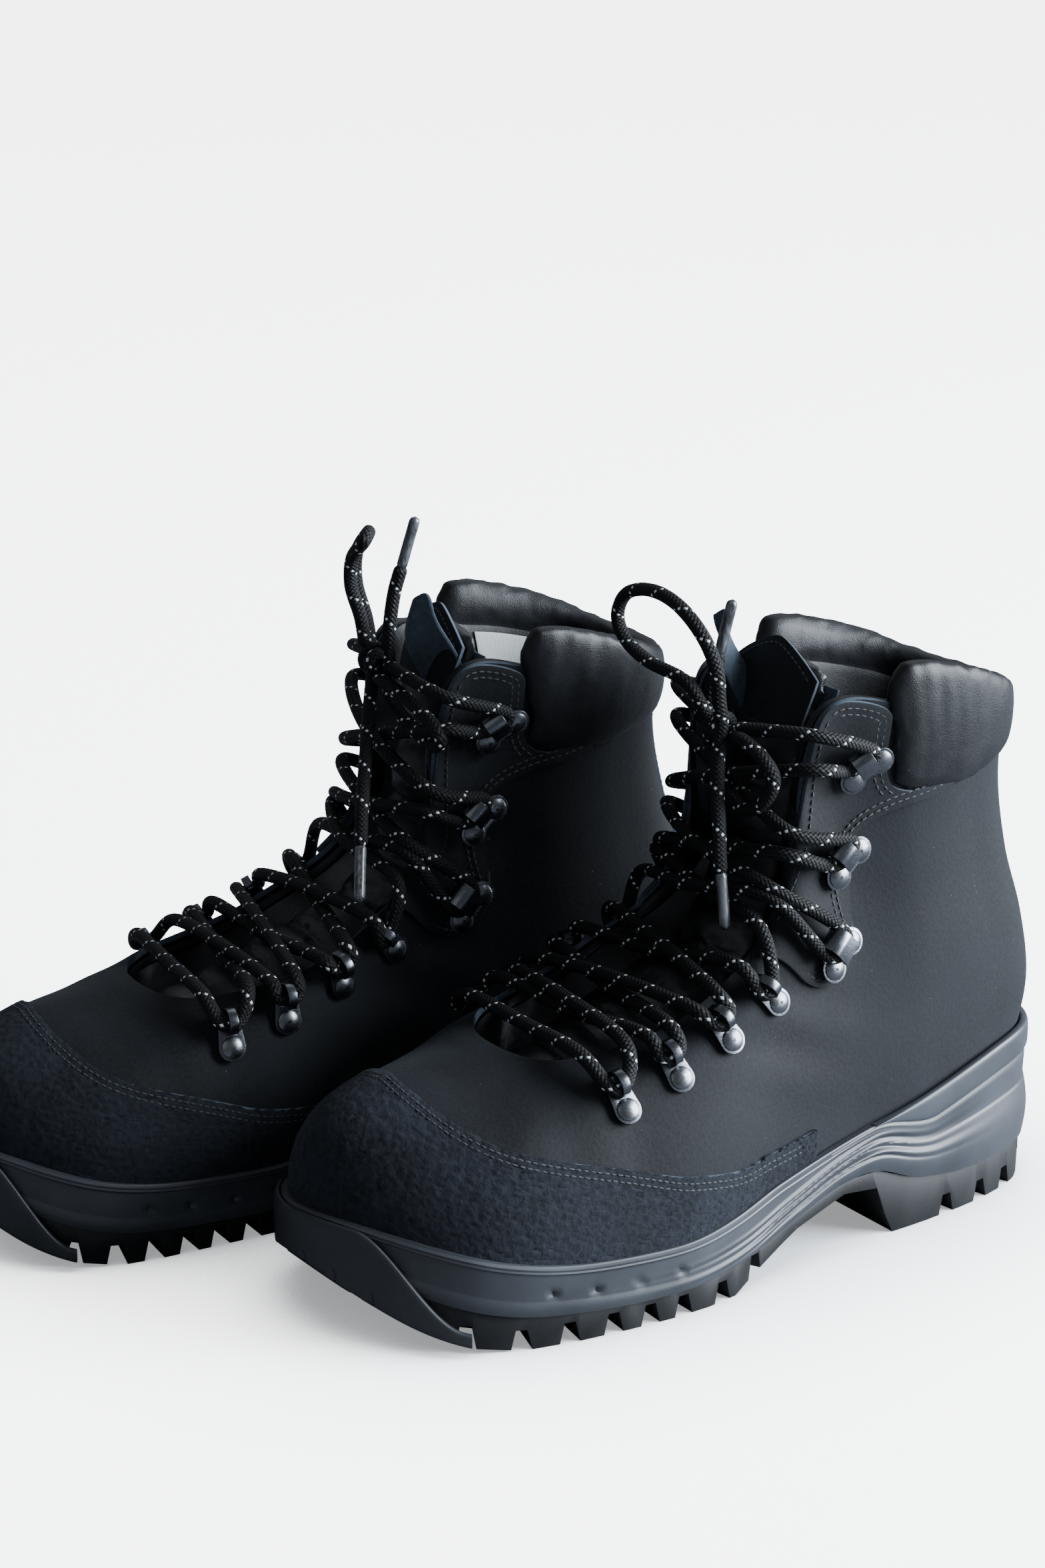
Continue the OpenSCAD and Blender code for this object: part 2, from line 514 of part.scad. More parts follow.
left() outsole();  // left_outsole
left() toe_bumper();  // left_toe_bumper
left() midsole();  // left_midsole
left() heel_stabiliser();  // left_heel_stabiliser
left() shank();  // left_shank
left() lasting_board();  // left_lasting_board
left() footbed();  // left_footbed
left() toe_puff();  // left_toe_puff
left() heel_counter();  // left_heel_counter
left() upper();  // left_upper
left() rand();  // left_rand
left() facing_outer();  // left_facing_outer
left() facing_inner();  // left_facing_inner
left() backstay();  // left_backstay
left() collar();  // left_collar
left() lining();  // left_lining
left() tongue();  // left_tongue
left() tongue_patch();  // left_tongue_patch
left() tongue_gusset();  // left_tongue_gusset
left() lace_loops();  // left_lace_loops
left() loop_rivets();  // left_loop_rivets
left() locking_hooks();  // left_locking_hooks
left() speed_hooks();  // left_speed_hooks
left() hook_rivets();  // left_hook_rivets
left() lace(LEFT_KNOT);  // left_lace
left() lace_knot(LEFT_KNOT);  // left_lace_knot
left() lace_end(LEFT_END_A);  // left_lace_end_a
left() lace_end(LEFT_END_B);  // left_lace_end_b
left() {  // left_aglets
    aglet(LEFT_END_A);
    aglet(LEFT_END_B);
}
left() size_label();  // left_size_label
right() outsole();  // right_outsole
right() toe_bumper();  // right_toe_bumper
right() midsole();  // right_midsole
right() heel_stabiliser();  // right_heel_stabiliser
right() shank();  // right_shank
right() lasting_board();  // right_lasting_board
right() footbed();  // right_footbed
right() toe_puff();  // right_toe_puff
right() heel_counter();  // right_heel_counter
right() upper();  // right_upper
right() rand();  // right_rand
right() facing_outer();  // right_facing_outer
right() facing_inner();  // right_facing_inner
right() backstay();  // right_backstay
right() collar();  // right_collar
right() lining();  // right_lining
right() tongue();  // right_tongue
right() tongue_patch();  // right_tongue_patch
right() tongue_gusset();  // right_tongue_gusset
right() lace_loops();  // right_lace_loops
right() loop_rivets();  // right_loop_rivets
right() locking_hooks();  // right_locking_hooks
right() speed_hooks();  // right_speed_hooks
right() hook_rivets();  // right_hook_rivets
right() lace(RIGHT_KNOT);  // right_lace
right() lace_knot(RIGHT_KNOT);  // right_lace_knot
right() lace_end(RIGHT_END_A);  // right_lace_end_a
right() lace_end(RIGHT_END_B);  // right_lace_end_b
right() {  // right_aglets
    aglet(RIGHT_END_A);
    aglet(RIGHT_END_B);
}
right() size_label();  // right_size_label
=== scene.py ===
"""A pair of laced mountaineering boots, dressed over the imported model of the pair.

Sizes are in millimetres in each boot's own frame: x to the outer side, y to the heel, z up, from the middle
of the sole. Every finished mesh lies in metres in the row frame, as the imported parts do.
"""

import logging
import math
from dataclasses import dataclass
from enum import Enum
from typing import Callable, Iterable, Sequence

import bpy
import numpy as np
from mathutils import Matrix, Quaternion, Vector


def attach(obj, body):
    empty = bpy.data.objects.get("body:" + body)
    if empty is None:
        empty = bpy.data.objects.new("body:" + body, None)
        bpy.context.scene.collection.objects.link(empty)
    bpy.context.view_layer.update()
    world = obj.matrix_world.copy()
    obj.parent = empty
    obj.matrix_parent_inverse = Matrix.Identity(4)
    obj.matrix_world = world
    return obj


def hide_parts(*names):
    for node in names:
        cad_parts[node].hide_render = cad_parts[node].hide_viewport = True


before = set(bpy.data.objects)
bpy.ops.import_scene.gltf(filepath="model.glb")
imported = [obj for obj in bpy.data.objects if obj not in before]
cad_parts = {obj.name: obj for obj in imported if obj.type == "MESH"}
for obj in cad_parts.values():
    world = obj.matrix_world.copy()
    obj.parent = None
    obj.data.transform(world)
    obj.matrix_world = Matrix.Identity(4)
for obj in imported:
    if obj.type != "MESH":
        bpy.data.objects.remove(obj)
LOG = logging.getLogger("boots")

MM = 0.001
# Where the two boots stand: the distance across and along between their middles, and how far each turns out
PAIR_GAP = 120.0
PAIR_STEP = 82.0
SPLAY = math.radians(4.2)

# Outer face of the upper: nine columns from the heel round the outer side to the toe, six levels each
HALF = np.array([
    [[0, 149, 57], [0, 152, 80], [0, 148, 104], [0, 140, 130], [0, 134, 160], [0, 135, 190]],
    [[22, 141, 56], [24, 143, 79], [24, 139, 104], [24, 131, 130], [25, 126, 160], [27, 127, 193]],
    [[33, 118, 54], [34, 119, 78], [33, 116, 103], [32, 109, 130], [33, 105, 161], [38, 107, 202]],
    [[39, 85, 46], [39, 86, 75], [38, 85, 102], [35, 82, 131], [34, 80, 163], [40, 74, 210]],
    [[42, 48, 38], [41, 50, 70], [36, 52, 100], [30, 50, 131], [28, 47, 166], [34, 37, 208]],
    [[48, 12, 31], [46, 15, 58], [42, 18, 82], [37, 21, 103], [32, 24, 120], [27, 27, 132]],
    [[57, -40, 23], [56, -38, 43], [52, -34, 60], [46, -29, 75], [40, -22, 88], [32, -14, 99]],
    [[44, -112, 30], [44, -109, 46], [41, -102, 59], [37, -91, 69], [31, -77, 79], [24, -60, 88]],
    [[-8, -148, 41], [-8, -146, 58], [-8, -137, 72], [-7, -118, 81], [-5, -96, 85], [-3, -74, 88]]], float)
MID_LOW = [0, 0, 0, 0, 1, 3, 3, -3, -8]
MID_TOP = [0, 0, -1, -2, -4, -4, -6, -5, -3]
BALL_SHIFT = [0, 0, 0, 0, 0, -5, -12, 0, 0]

# Heights of the sole along the boot, as y and z
TREAD = [[-158, 32], [-145, 20], [-130, 9], [-112, 2], [-98, 0], [-12, 0], [-4, 4], [20, 15], [44, 21],
         [60, 19], [64, 8], [66, 0], [138, 0], [158, 9]]
OUTSOLE_TOP = [[-158, 40], [-140, 27], [-120, 18], [-100, 13], [-80, 11], [-20, 11], [0, 14], [20, 20],
               [44, 26], [60, 26], [76, 20], [90, 17], [158, 17]]
MIDSOLE_TOP = [[-158, 46], [-148, 45], [-136, 42], [-121, 37.5], [-107, 33.5], [-84, 29], [-60, 27],
               [-30, 27], [-10, 30], [12, 35], [48, 42], [68, 46], [85, 50], [118, 58], [141, 61], [158, 62]]
RAND_TOP = [[0.29, 0.10], [0.32, 0.12], [0.34, 0.15], [0.36, 0.22], [0.375, 0.28], [0.395, 0.38],
            [0.415, 0.47], [0.435, 0.54], [0.457, 0.595], [0.476, 0.63], [0.50, 0.655]]

# Outline of the leather that carries the hooks: its lower and its upper edge, from the heel forward
FACING_LOW = [(0.138, 0.824), (0.167, 0.794), (0.195, 0.773), (0.2165, 0.736), (0.234, 0.700),
              (0.2455, 0.666), (0.2506, 0.619), (0.2492, 0.556), (0.2468, 0.495), (0.2497, 0.446), (0.2596, 0.419),
              (0.2718, 0.421), (0.2885, 0.479), (0.3037, 0.589), (0.3304, 0.860)]
FACING_HIGH = [(0.138, 0.828), (0.159, 0.815), (0.187, 0.803), (0.2032, 0.801), (0.2095, 0.819),
               (0.2092, 0.864), (0.2063, 0.905), (0.2075, 0.930), (0.229, 0.940), (0.249, 0.948), (0.262, 0.952),
               (0.275, 0.958), (0.290, 0.975), (0.307, 0.985), (0.3304, 0.985)]

# Lacing on the outer half: rivets, the ends that the lace pulls on, where strands cross the opening's edge
LOOPS = [[0.398, 0.65], [0.377, 0.685], [0.350, 0.66], [0.319, 0.575]]
LOOP_TOPS = [[0.4125, 0.87], [0.3925, 0.93], [0.368, 0.94], [0.339, 0.84]]
HOOKS = [[0.263, 0.475], [0.2455, 0.65], [0.2255, 0.83]]
HOOK_TOPS = [[0.283, 0.60], [0.263, 0.74], [0.240, 0.90]]
CROSSINGS = [[0.407, 0.398], [0.387, 0.374], [0.361, 0.346], [0.326, 0.313], [0.309, 0.297], [0.291, 0.274]]
LACE_D = 5.0
LOOP_H = 7.2
LOOP_REACH = 9.4
HOOK_REACH = 7.0
FACING_T = 1.5
HOOK_RISE = 0.8 + FACING_T + 0.95
HOOK_LACE_H = 4.6
LOOP_RISE = 0.4
LOOP_HALF = 3.5
HOOK_HALF = 5.5
EDGE_H = LACE_D / 2 + 2
PUSH = 6
SEAT = -0.5
AGLET = 20.0

# Middle line of the tongue's outer face, as y, z and half width, from a tip hidden under the vamp
TONGUE = np.array([
    [-74, 71, 12], [-64, 76, 16], [-46, 82, 20], [-24, 90, 24], [-2, 99, 25], [15, 109, 23], [27, 126, 21],
    [33, 146, 20], [37, 166, 20], [40, 186, 22], [46, 204, 24], [52, 216, 20]], float)
# Where the seams between the tongue's pads lie, along its face from its foot
PAD_SEAMS = [16, 38, 60, 82, 102, 124, 150, 178]
TONGUE_X = -5.0
TONGUE_T = 6.0


class Side(Enum):
    """Which foot a boot is for."""

    LEFT = 1
    RIGHT = -1


KNOT = {Side.LEFT: [3, 18, 188], Side.RIGHT: [-3, 24, 196]}
END_A = {
    Side.LEFT: [[-1, 16, 190], [-8, 11, 203], [-28, 8, 207], [-42, 8, 212], [-47, 8, 220], [-41, 8, 229],
                [-26, 8, 233], [-10, 8, 231], [3, 9, 223], [9, 11, 212], [8, 13, 200], [7, 15, 190],
                [8, 13, 181], [13, 9, 172], [17, 7, 159], [19, 6, 148], [20, 6, 141]],
    Side.RIGHT: [[-1, 21, 200], [6, 22, 210], [15, 22, 220], [13, 22, 231], [2, 22, 239], [9, 27, 241],
                 [21, 27, 231], [22, 27, 219], [13, 27, 208], [4, 25, 199], [-4, 22, 190], [-13, 17, 180],
                 [-28, 9, 164], [-39, 3, 150], [-45, 0, 139]]}
END_B = {
    Side.LEFT: [[7, 20, 186], [18, 17, 187], [27, 18, 183], [31, 20, 176], [26, 20, 167], [15, 20, 161],
                [6, 19, 166], [0, 17, 176], [-3, 17, 186], [-3, 17, 196], [-2, 18, 206], [0, 19, 215]],
    Side.RIGHT: [[-8, 22, 191], [-24, 25, 188], [-40, 29, 182], [-46, 31, 177], [-41, 31, 172],
                 [-27, 28, 176], [-13, 26, 183], [-8, 27, 195], [-7, 28, 208], [-7, 30, 221], [-10, 32, 232]]}

Spot = Callable[[np.ndarray, np.ndarray], np.ndarray]


# ---- Curves ----


def through(a: np.ndarray, b: np.ndarray, c: np.ndarray, d: np.ndarray, t: np.ndarray) -> np.ndarray:
    """Gives a smooth curve from b to c, with a and d as the points before and after them.

    Args:
        a, b, c, d: Four points in a row, or arrays of them.
        t: How far along from b to c, from 0 to 1.

    Returns:
        The point or points on the curve.
    """
    return 0.5 * (2 * b + (c - a) * t + (2 * a - 5 * b + 4 * c - d) * t ** 2
                  + (3 * b - a - 3 * c + d) * t ** 3)


def smooth_route(route: Sequence, steps: int) -> np.ndarray:
    """Rounds a route of points into a smooth curve through all of them.

    Args:
        route: The points, of any dimension.
        steps: How many pieces each stretch between two points gets.

    Returns:
        The curve's points, one row each.
    """
    p = np.array(route, float)
    p = np.vstack([2 * p[0] - p[1], p, 2 * p[-1] - p[-2]])
    t = np.arange(steps)[:, None] / steps
    parts = [through(p[i - 1], p[i], p[i + 1], p[i + 2], t) for i in range(1, len(p) - 2)]
    return np.vstack(parts + [p[-2][None]])


def on_table(x: np.ndarray, table: Sequence) -> np.ndarray:
    """Looks x up in rows of place and value, on a smooth curve through them.

    Args:
        x: The places asked for.
        table: Rows of place and value, with the places rising.

    Returns:
        The value at each place.
    """
    t = np.array(table, float)
    slope = np.gradient(t[:, 1], t[:, 0])
    i = np.clip(np.searchsorted(t[:, 0], x) - 1, 0, len(t) - 2)
    h = t[i + 1, 0] - t[i, 0]
    q = np.clip((x - t[i, 0]) / h, 0, 1)
    a, b = t[i, 1], t[i + 1, 1]
    return ((2 * q ** 3 - 3 * q ** 2 + 1) * a + (q ** 3 - 2 * q ** 2 + q) * h * slope[i]
            + (3 * q ** 2 - 2 * q ** 3) * b + (q ** 3 - q ** 2) * h * slope[i + 1])


def bell(x: np.ndarray, middle: float, width: float) -> np.ndarray:
    """Gives a rounded rise of height one round middle, so wide on each side."""
    return np.exp(-((x - middle) / width) ** 2)


def rise(x: np.ndarray, low: float, high: float) -> np.ndarray:
    """Goes smoothly from 0 at low to 1 at high."""
    q = np.clip((x - low) / (high - low), 0, 1)
    return q * q * (3 - 2 * q)


def power(x: np.ndarray, exponent: float) -> np.ndarray:
    """Raises to a power with the sign kept, which squares a round section's corners."""
    return np.sign(x) * np.abs(x) ** exponent


def unit(p: np.ndarray) -> np.ndarray:
    """Scales a direction, or each of several, to length one."""
    return p / np.maximum(np.linalg.norm(p, axis=-1, keepdims=True), 1e-9)


def stations(route: np.ndarray, spacing: float) -> np.ndarray:
    """Spaces points evenly along a line.

    Args:
        route: The line's points, close together.
        spacing: The distance wanted between two points.

    Returns:
        The evenly spaced points, the two ends among them.
    """
    run = np.concatenate([[0], np.cumsum(np.linalg.norm(np.diff(route, axis=0), axis=1))])
    count = max(2, int(round(run[-1] / spacing)) + 1)
    want = np.linspace(0, run[-1], count)
    return np.stack([np.interp(want, run, route[:, k]) for k in range(route.shape[1])], 1)


# ---- The boot's shape ----


def make_columns() -> np.ndarray:
    """Mirrors the outer half into 16 columns, each with one more level below and above."""
    columns = [HALF[k] for k in range(9)]
    for k in range(7, 0, -1):
        v = np.arange(6) / 5
        middle = MID_LOW[k] * (1 - v) + MID_TOP[k] * v
        column = HALF[k].copy()
        column[:, 0] = 2 * middle - column[:, 0]
        column[:, 1] += BALL_SHIFT[k] * (1 - v)
        columns.append(column)
    c = np.array(columns)
    return np.concatenate([2 * c[:, :1] - c[:, 1:2], c, 2 * c[:, 5:] - c[:, 4:5]], 1)


COLUMNS = make_columns()


def skin(u: np.ndarray, v: np.ndarray) -> np.ndarray:
    """Finds points of the upper's outer face.

    Args:
        u: Place round the boot: 0 the heel, 0.25 the outer ankle, 0.5 the toe.
        v: Height: 0 the sole's edge, 1 the edge of the opening.

    Returns:
        Points in the boot's frame, in millimetres.
    """
    u, v = np.broadcast_arrays(np.asarray(u, float), np.asarray(v, float))
    b = np.clip(v, 0, 1) * 5
    j = np.minimum(np.floor(b), 4).astype(int)
    t = (b - j)[..., None]
    a = (u + 1) * 16
    k = np.floor(a).astype(int)

    def on_column(i: np.ndarray) -> np.ndarray:
        """Finds the points at these heights on one column."""
        return through(*[COLUMNS[i % 16, j + n] for n in range(4)], t)

    return through(on_column(k - 1), on_column(k), on_column(k + 1), on_column(k + 2), (a - k)[..., None])


def skin_normal(u: np.ndarray, v: np.ndarray) -> np.ndarray:
    """Finds the outward direction at points of the upper's outer face."""
    w = np.clip(v, 0.02, 0.98)
    along = skin(u + 0.004, w) - skin(u - 0.004, w)
    up = skin(u, w + 0.02) - skin(u, w - 0.02)
    return unit(np.cross(up, along))


def layer(u: np.ndarray, v: np.ndarray, height: np.ndarray) -> np.ndarray:
    """Finds points so high over the upper's outer face, or under it where height is negative."""
    u, v, height = np.broadcast_arrays(*[np.asarray(x, float) for x in (u, v, height)])
    return skin(u, v) + height[..., None] * skin_normal(u, v)


def flat_normal(u: np.ndarray) -> np.ndarray:
    """Finds the level outward direction at the sole's edge."""
    way = skin(u + 0.004, 0 * u) - skin(u - 0.004, 0 * u)
    return unit(np.stack([-way[..., 1], way[..., 0]], -1))


def outer_half(u: np.ndarray) -> np.ndarray:
    """Folds a place on the inner half onto the outer half."""
    w = np.mod(u, 1)
    return np.minimum(w, 1 - w)


def to_row(points: np.ndarray, side: Side) -> np.ndarray:
    """Takes points from a boot's frame in millimetres to the row frame in metres."""
    turn = SPLAY * side.value
    x, y, z = points[..., 0] * side.value, points[..., 1], points[..., 2]
    c, s = math.cos(turn), math.sin(turn)
    return MM * np.stack([c * x - s * y + side.value * PAIR_GAP / 2,
                          s * x + c * y + side.value * PAIR_STEP / 2, z], -1)


def from_row(points: np.ndarray, side: Side) -> np.ndarray:
    """Takes points from the row frame in metres to a boot's frame in millimetres."""
    turn = SPLAY * side.value
    p = points / MM - np.array([side.value * PAIR_GAP / 2, side.value * PAIR_STEP / 2, 0])
    c, s = math.cos(turn), math.sin(turn)
    return np.stack([(c * p[:, 0] + s * p[:, 1]) * side.value, -s * p[:, 0] + c * p[:, 1], p[:, 2]], 1)


def offset_path(path: np.ndarray, distance: float) -> np.ndarray:
    """Moves a line on the upper sideways over its face.

    Args:
        path: Rows of place round the boot and height up it.
        distance: How far to move it, in millimetres, to the left of its way as seen from outside.

    Returns:
        The moved line, in the same coordinates.
    """
    u, v = path[:, 0], np.clip(path[:, 1], 0.02, 0.98)
    du = (skin(u + 0.002, v) - skin(u - 0.002, v)) / 0.004
    dv = (skin(u, v + 0.01) - skin(u, v - 0.01)) / 0.02
    step = np.gradient(path, axis=0)
    way = unit(step[:, :1] * du + step[:, 1:] * dv)
    out = unit(np.cross(dv, du))
    move = np.cross(out, way) * distance
    a, b, c = (du * du).sum(1), (du * dv).sum(1), (dv * dv).sum(1)
    p, q = (move * du).sum(1), (move * dv).sum(1)
    det = a * c - b * b
    return path + np.stack([(c * p - b * q) / det, (a * q - b * p) / det], 1)


# ---- Meshes ----

# Corners sharper than these, in degrees, are rounded: on cut leather, and on moulded or cast parts
CUT_ANGLE = 55
MOULD_ANGLE = 30


def activate(piece: bpy.types.Object) -> None:
    """Selects one piece alone and makes it active."""
    bpy.ops.object.select_all(action="DESELECT")
    piece.select_set(True)
    bpy.context.view_layer.objects.active = piece


def edit(piece: bpy.types.Object, *steps: Callable[[], object]) -> None:
    """Selects all of a piece's mesh in edit mode and runs operators on it."""
    activate(piece)
    bpy.ops.object.mode_set(mode="EDIT")
    bpy.ops.mesh.select_all(action="SELECT")
    for step in steps:
        step()
    bpy.ops.object.mode_set(mode="OBJECT")


def weld(piece: bpy.types.Object, distance: float = 0.01) -> None:
    """Merges points that lie within so many millimetres of each other."""
    edit(piece, lambda: bpy.ops.mesh.remove_doubles(threshold=distance * MM))


def apply_all(piece: bpy.types.Object) -> None:
    """Applies every modifier of a piece."""
    activate(piece)
    for modifier in list(piece.modifiers):
        bpy.ops.object.modifier_apply(modifier=modifier.name)


def shade(piece: bpy.types.Object, angle: float) -> None:
    """Shades a piece smooth, with creases sharper than angle, in degrees, kept."""
    activate(piece)
    bpy.ops.object.shade_smooth_by_angle(angle=math.radians(angle))


def face_out() -> None:
    """Turns the faces selected in edit mode outwards."""
    bpy.ops.mesh.normals_make_consistent(inside=False)


def close_up(piece: bpy.types.Object, distance: float = 0.02) -> None:
    """Merges the meeting edges of a rolled-up sheet, fills its two ends and turns its faces outwards.

    Args:
        piece: The rolled-up sheet.
        distance: How far apart points may be to be merged, in millimetres.
    """
    edit(piece, lambda: bpy.ops.mesh.remove_doubles(threshold=distance * MM),
         lambda: bpy.ops.mesh.select_all(action="DESELECT"),
         bpy.ops.mesh.select_non_manifold, bpy.ops.mesh.edge_face_add,
         lambda: bpy.ops.mesh.select_all(action="SELECT"), face_out)


def add_bevel(piece: bpy.types.Object, width: float, angle: float, segments: int = 2) -> None:
    """Adds a bevel to a piece, to be applied later.

    Args:
        piece: The piece.
        width: Width of the rounding, in millimetres.
        angle: Corners flatter than this, in degrees, stay.
        segments: Number of faces across each rounding.
    """
    bevel = piece.modifiers.new("Bevel", "BEVEL")
    bevel.width, bevel.segments = width * MM, segments
    bevel.limit_method, bevel.angle_limit = "ANGLE", math.radians(angle)
    bevel.use_clamp_overlap = True


def points_of(piece: bpy.types.Object) -> np.ndarray:
    """Reads a piece's points."""
    flat = np.empty(len(piece.data.vertices) * 3)
    piece.data.vertices.foreach_get("co", flat)
    return flat.reshape(-1, 3)


def directions_of(piece: bpy.types.Object) -> np.ndarray:
    """Reads the outward direction at each of a piece's points."""
    flat = np.empty(len(piece.data.vertices) * 3)
    piece.data.vertex_normals.foreach_get("vector", flat)
    return flat.reshape(-1, 3)


def set_points(piece: bpy.types.Object, points: np.ndarray) -> None:
    """Moves a piece's points to new places."""
    piece.data.vertices.foreach_set("co", points.astype(np.float32).ravel())
    piece.data.update()


def add_sheet(name: str, across: int, along: int, place: Spot, size: tuple[float, float] = (1, 1),
              turned: bool = False) -> bpy.types.Object:
    """Adds a grid and lays it where place says.

    Args:
        name: The piece's name.
        across: Number of faces in its first direction.
        along: Number of faces in its second direction.
        place: Gives row-frame points, in metres, from two arrays that run from 0 to 1.
        size: What the UV map counts up to in each direction, in metres.
        turned: Whether the faces are turned over.

    Returns:
        The sheet.
    """
    bpy.ops.object.select_all(action="DESELECT")
    bpy.ops.mesh.primitive_grid_add(x_subdivisions=across, y_subdivisions=along, size=1)
    piece = bpy.context.object
    piece.name = piece.data.name = name
    s, t = np.clip(points_of(piece)[:, :2] + 0.5, 0, 1).T
    corners = piece.data.uv_layers.active.data
    uv = np.empty(len(corners) * 2)
    corners.foreach_get("uv", uv)
    corners.foreach_set("uv", (uv.reshape(-1, 2) * size).ravel())
    set_points(piece, place(s, t))
    if turned:
        piece.data.flip_normals()
    return piece


def thicken(piece: bpy.types.Object, thickness: float, outward: bool, rim: int, edge: float) -> None:
    """Gives a sheet a thickness and rounds its cut edges.

    Args:
        piece: The sheet.
        thickness: Thickness in millimetres.
        outward: Whether the thickness goes out from the face, or in from it.
        rim: Which of the piece's materials the cut edge gets, counted from the face's own.
        edge: Width of the rounding of the cut edge, in millimetres, or 0 for none.
    """
    wall = piece.modifiers.new("Wall", "SOLIDIFY")
    wall.thickness = thickness * MM
    wall.offset = 1 if outward else -1
    wall.material_offset_rim = rim
    wall.use_even_offset = False
    if edge:
        add_bevel(piece, edge, CUT_ANGLE)
    apply_all(piece)


def dress(piece: bpy.types.Object, *finishes: "Finish") -> bpy.types.Object:
    """Puts materials on a piece, the first on all its faces."""
    piece.data.materials.clear()
    for finish in finishes:
        piece.data.materials.append(finish.material())
    return piece


def copies(name: str, model: bpy.types.Object, places: Iterable[np.ndarray]) -> bpy.types.Object:
    """Makes one piece of many copies of a small model.

    Args:
        name: The new piece's name.
        model: The small model, which stays as it is.
        places: A 4 by 4 matrix for each copy.

    Returns:
        The piece.
    """
    count = len(model.data.vertices)
    corners = np.c_[points_of(model), np.ones(count)]
    faces = [tuple(p.vertices) for p in model.data.polygons]
    points, all_faces = [], []
    for n, place in enumerate(places):
        points.append(corners @ np.asarray(place).T)
        order = -1 if np.linalg.det(np.asarray(place)[:3, :3]) < 0 else 1
        all_faces += [tuple(i + n * count for i in f)[::order] for f in faces]
    mesh = bpy.data.meshes.new(name)
    mesh.from_pydata(np.vstack(points)[:, :3].tolist(), [], all_faces)
    mesh.update()
    piece = bpy.data.objects.new(name, mesh)
    bpy.context.scene.collection.objects.link(piece)
    return piece


def remove(piece: bpy.types.Object) -> None:
    """Deletes a working object."""
    bpy.data.objects.remove(piece, do_unlink=True)


def softened(node: str, name: str, width: float, segments: int = 2) -> bpy.types.Object:
    """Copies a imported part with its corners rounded.

    Args:
        node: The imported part.
        name: The new piece's name.
        width: Width of the rounding, in millimetres.
        segments: Number of faces across each rounding.

    Returns:
        The rounded copy, which stands for the part.
    """
    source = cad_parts[node]
    piece = bpy.data.objects.new(name, source.data.copy())
    bpy.context.scene.collection.objects.link(piece)
    edit(piece, lambda: bpy.ops.mesh.remove_doubles(threshold=0.002 * MM),
         lambda: bpy.ops.mesh.dissolve_limited(angle_limit=math.radians(1.0)))
    add_bevel(piece, width, MOULD_ANGLE, segments)
    apply_all(piece)
    shade(piece, MOULD_ANGLE + 5)
    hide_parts(node)
    return piece


def frames_along(route: np.ndarray) -> tuple[np.ndarray, np.ndarray]:
    """Finds two directions across a line at each of its points, without twist.

    Args:
        route: The line's points.

    Returns:
        The two directions, one row for each point.
    """
    way = unit(np.gradient(route, axis=0))
    start = np.array([0, 0, 1.0]) if abs(way[0][2]) < 0.9 else np.array([1.0, 0, 0])
    first = [unit(np.cross(way[0], start))]
    for i in range(1, len(way)):
        q = first[-1] - way[i] * (first[-1] @ way[i])
        first.append(unit(q))
    first = np.array(first)
    return first, np.cross(way, first)


def add_tube(name: str, route: np.ndarray, width: float, height: float, sides: int = 16) -> bpy.types.Object:
    """Adds a tube along a line, with rounded ends.

    Args:
        name: The piece's name.
        route: The line's points in the row frame, in metres, evenly spaced.
        width, height: The tube's two diameters, in millimetres.
        sides: Number of faces round the tube.

    Returns:
        The tube. Its UV map runs along the line in metres, and once round from 0 to 1.
    """
    a, b = frames_along(route)
    run = np.concatenate([[0], np.cumsum(np.linalg.norm(np.diff(route, axis=0), axis=1))])
    n = len(route)

    def place(s: np.ndarray, t: np.ndarray) -> np.ndarray:
        """Rolls the grid up round the line."""
        i = np.rint(t * (n - 1)).astype(int)
        turn = 2 * math.pi * s
        near = np.minimum(run[i], run[-1] - run[i]) / (0.5 * width * MM)
        closing = np.sqrt(np.clip(1 - (1 - np.clip(near, 0.02, 1)) ** 2, 0, 1))[:, None]
        return route[i] + 0.5 * MM * closing * (width * np.cos(turn)[:, None] * a[i]
                                                + height * np.sin(turn)[:, None] * b[i])

    tube = add_sheet(name, sides, n - 1, place, (1, run[-1]))
    close_up(tube, 0.004)
    shade(tube, 60)
    return tube


# ---- Finishes ----


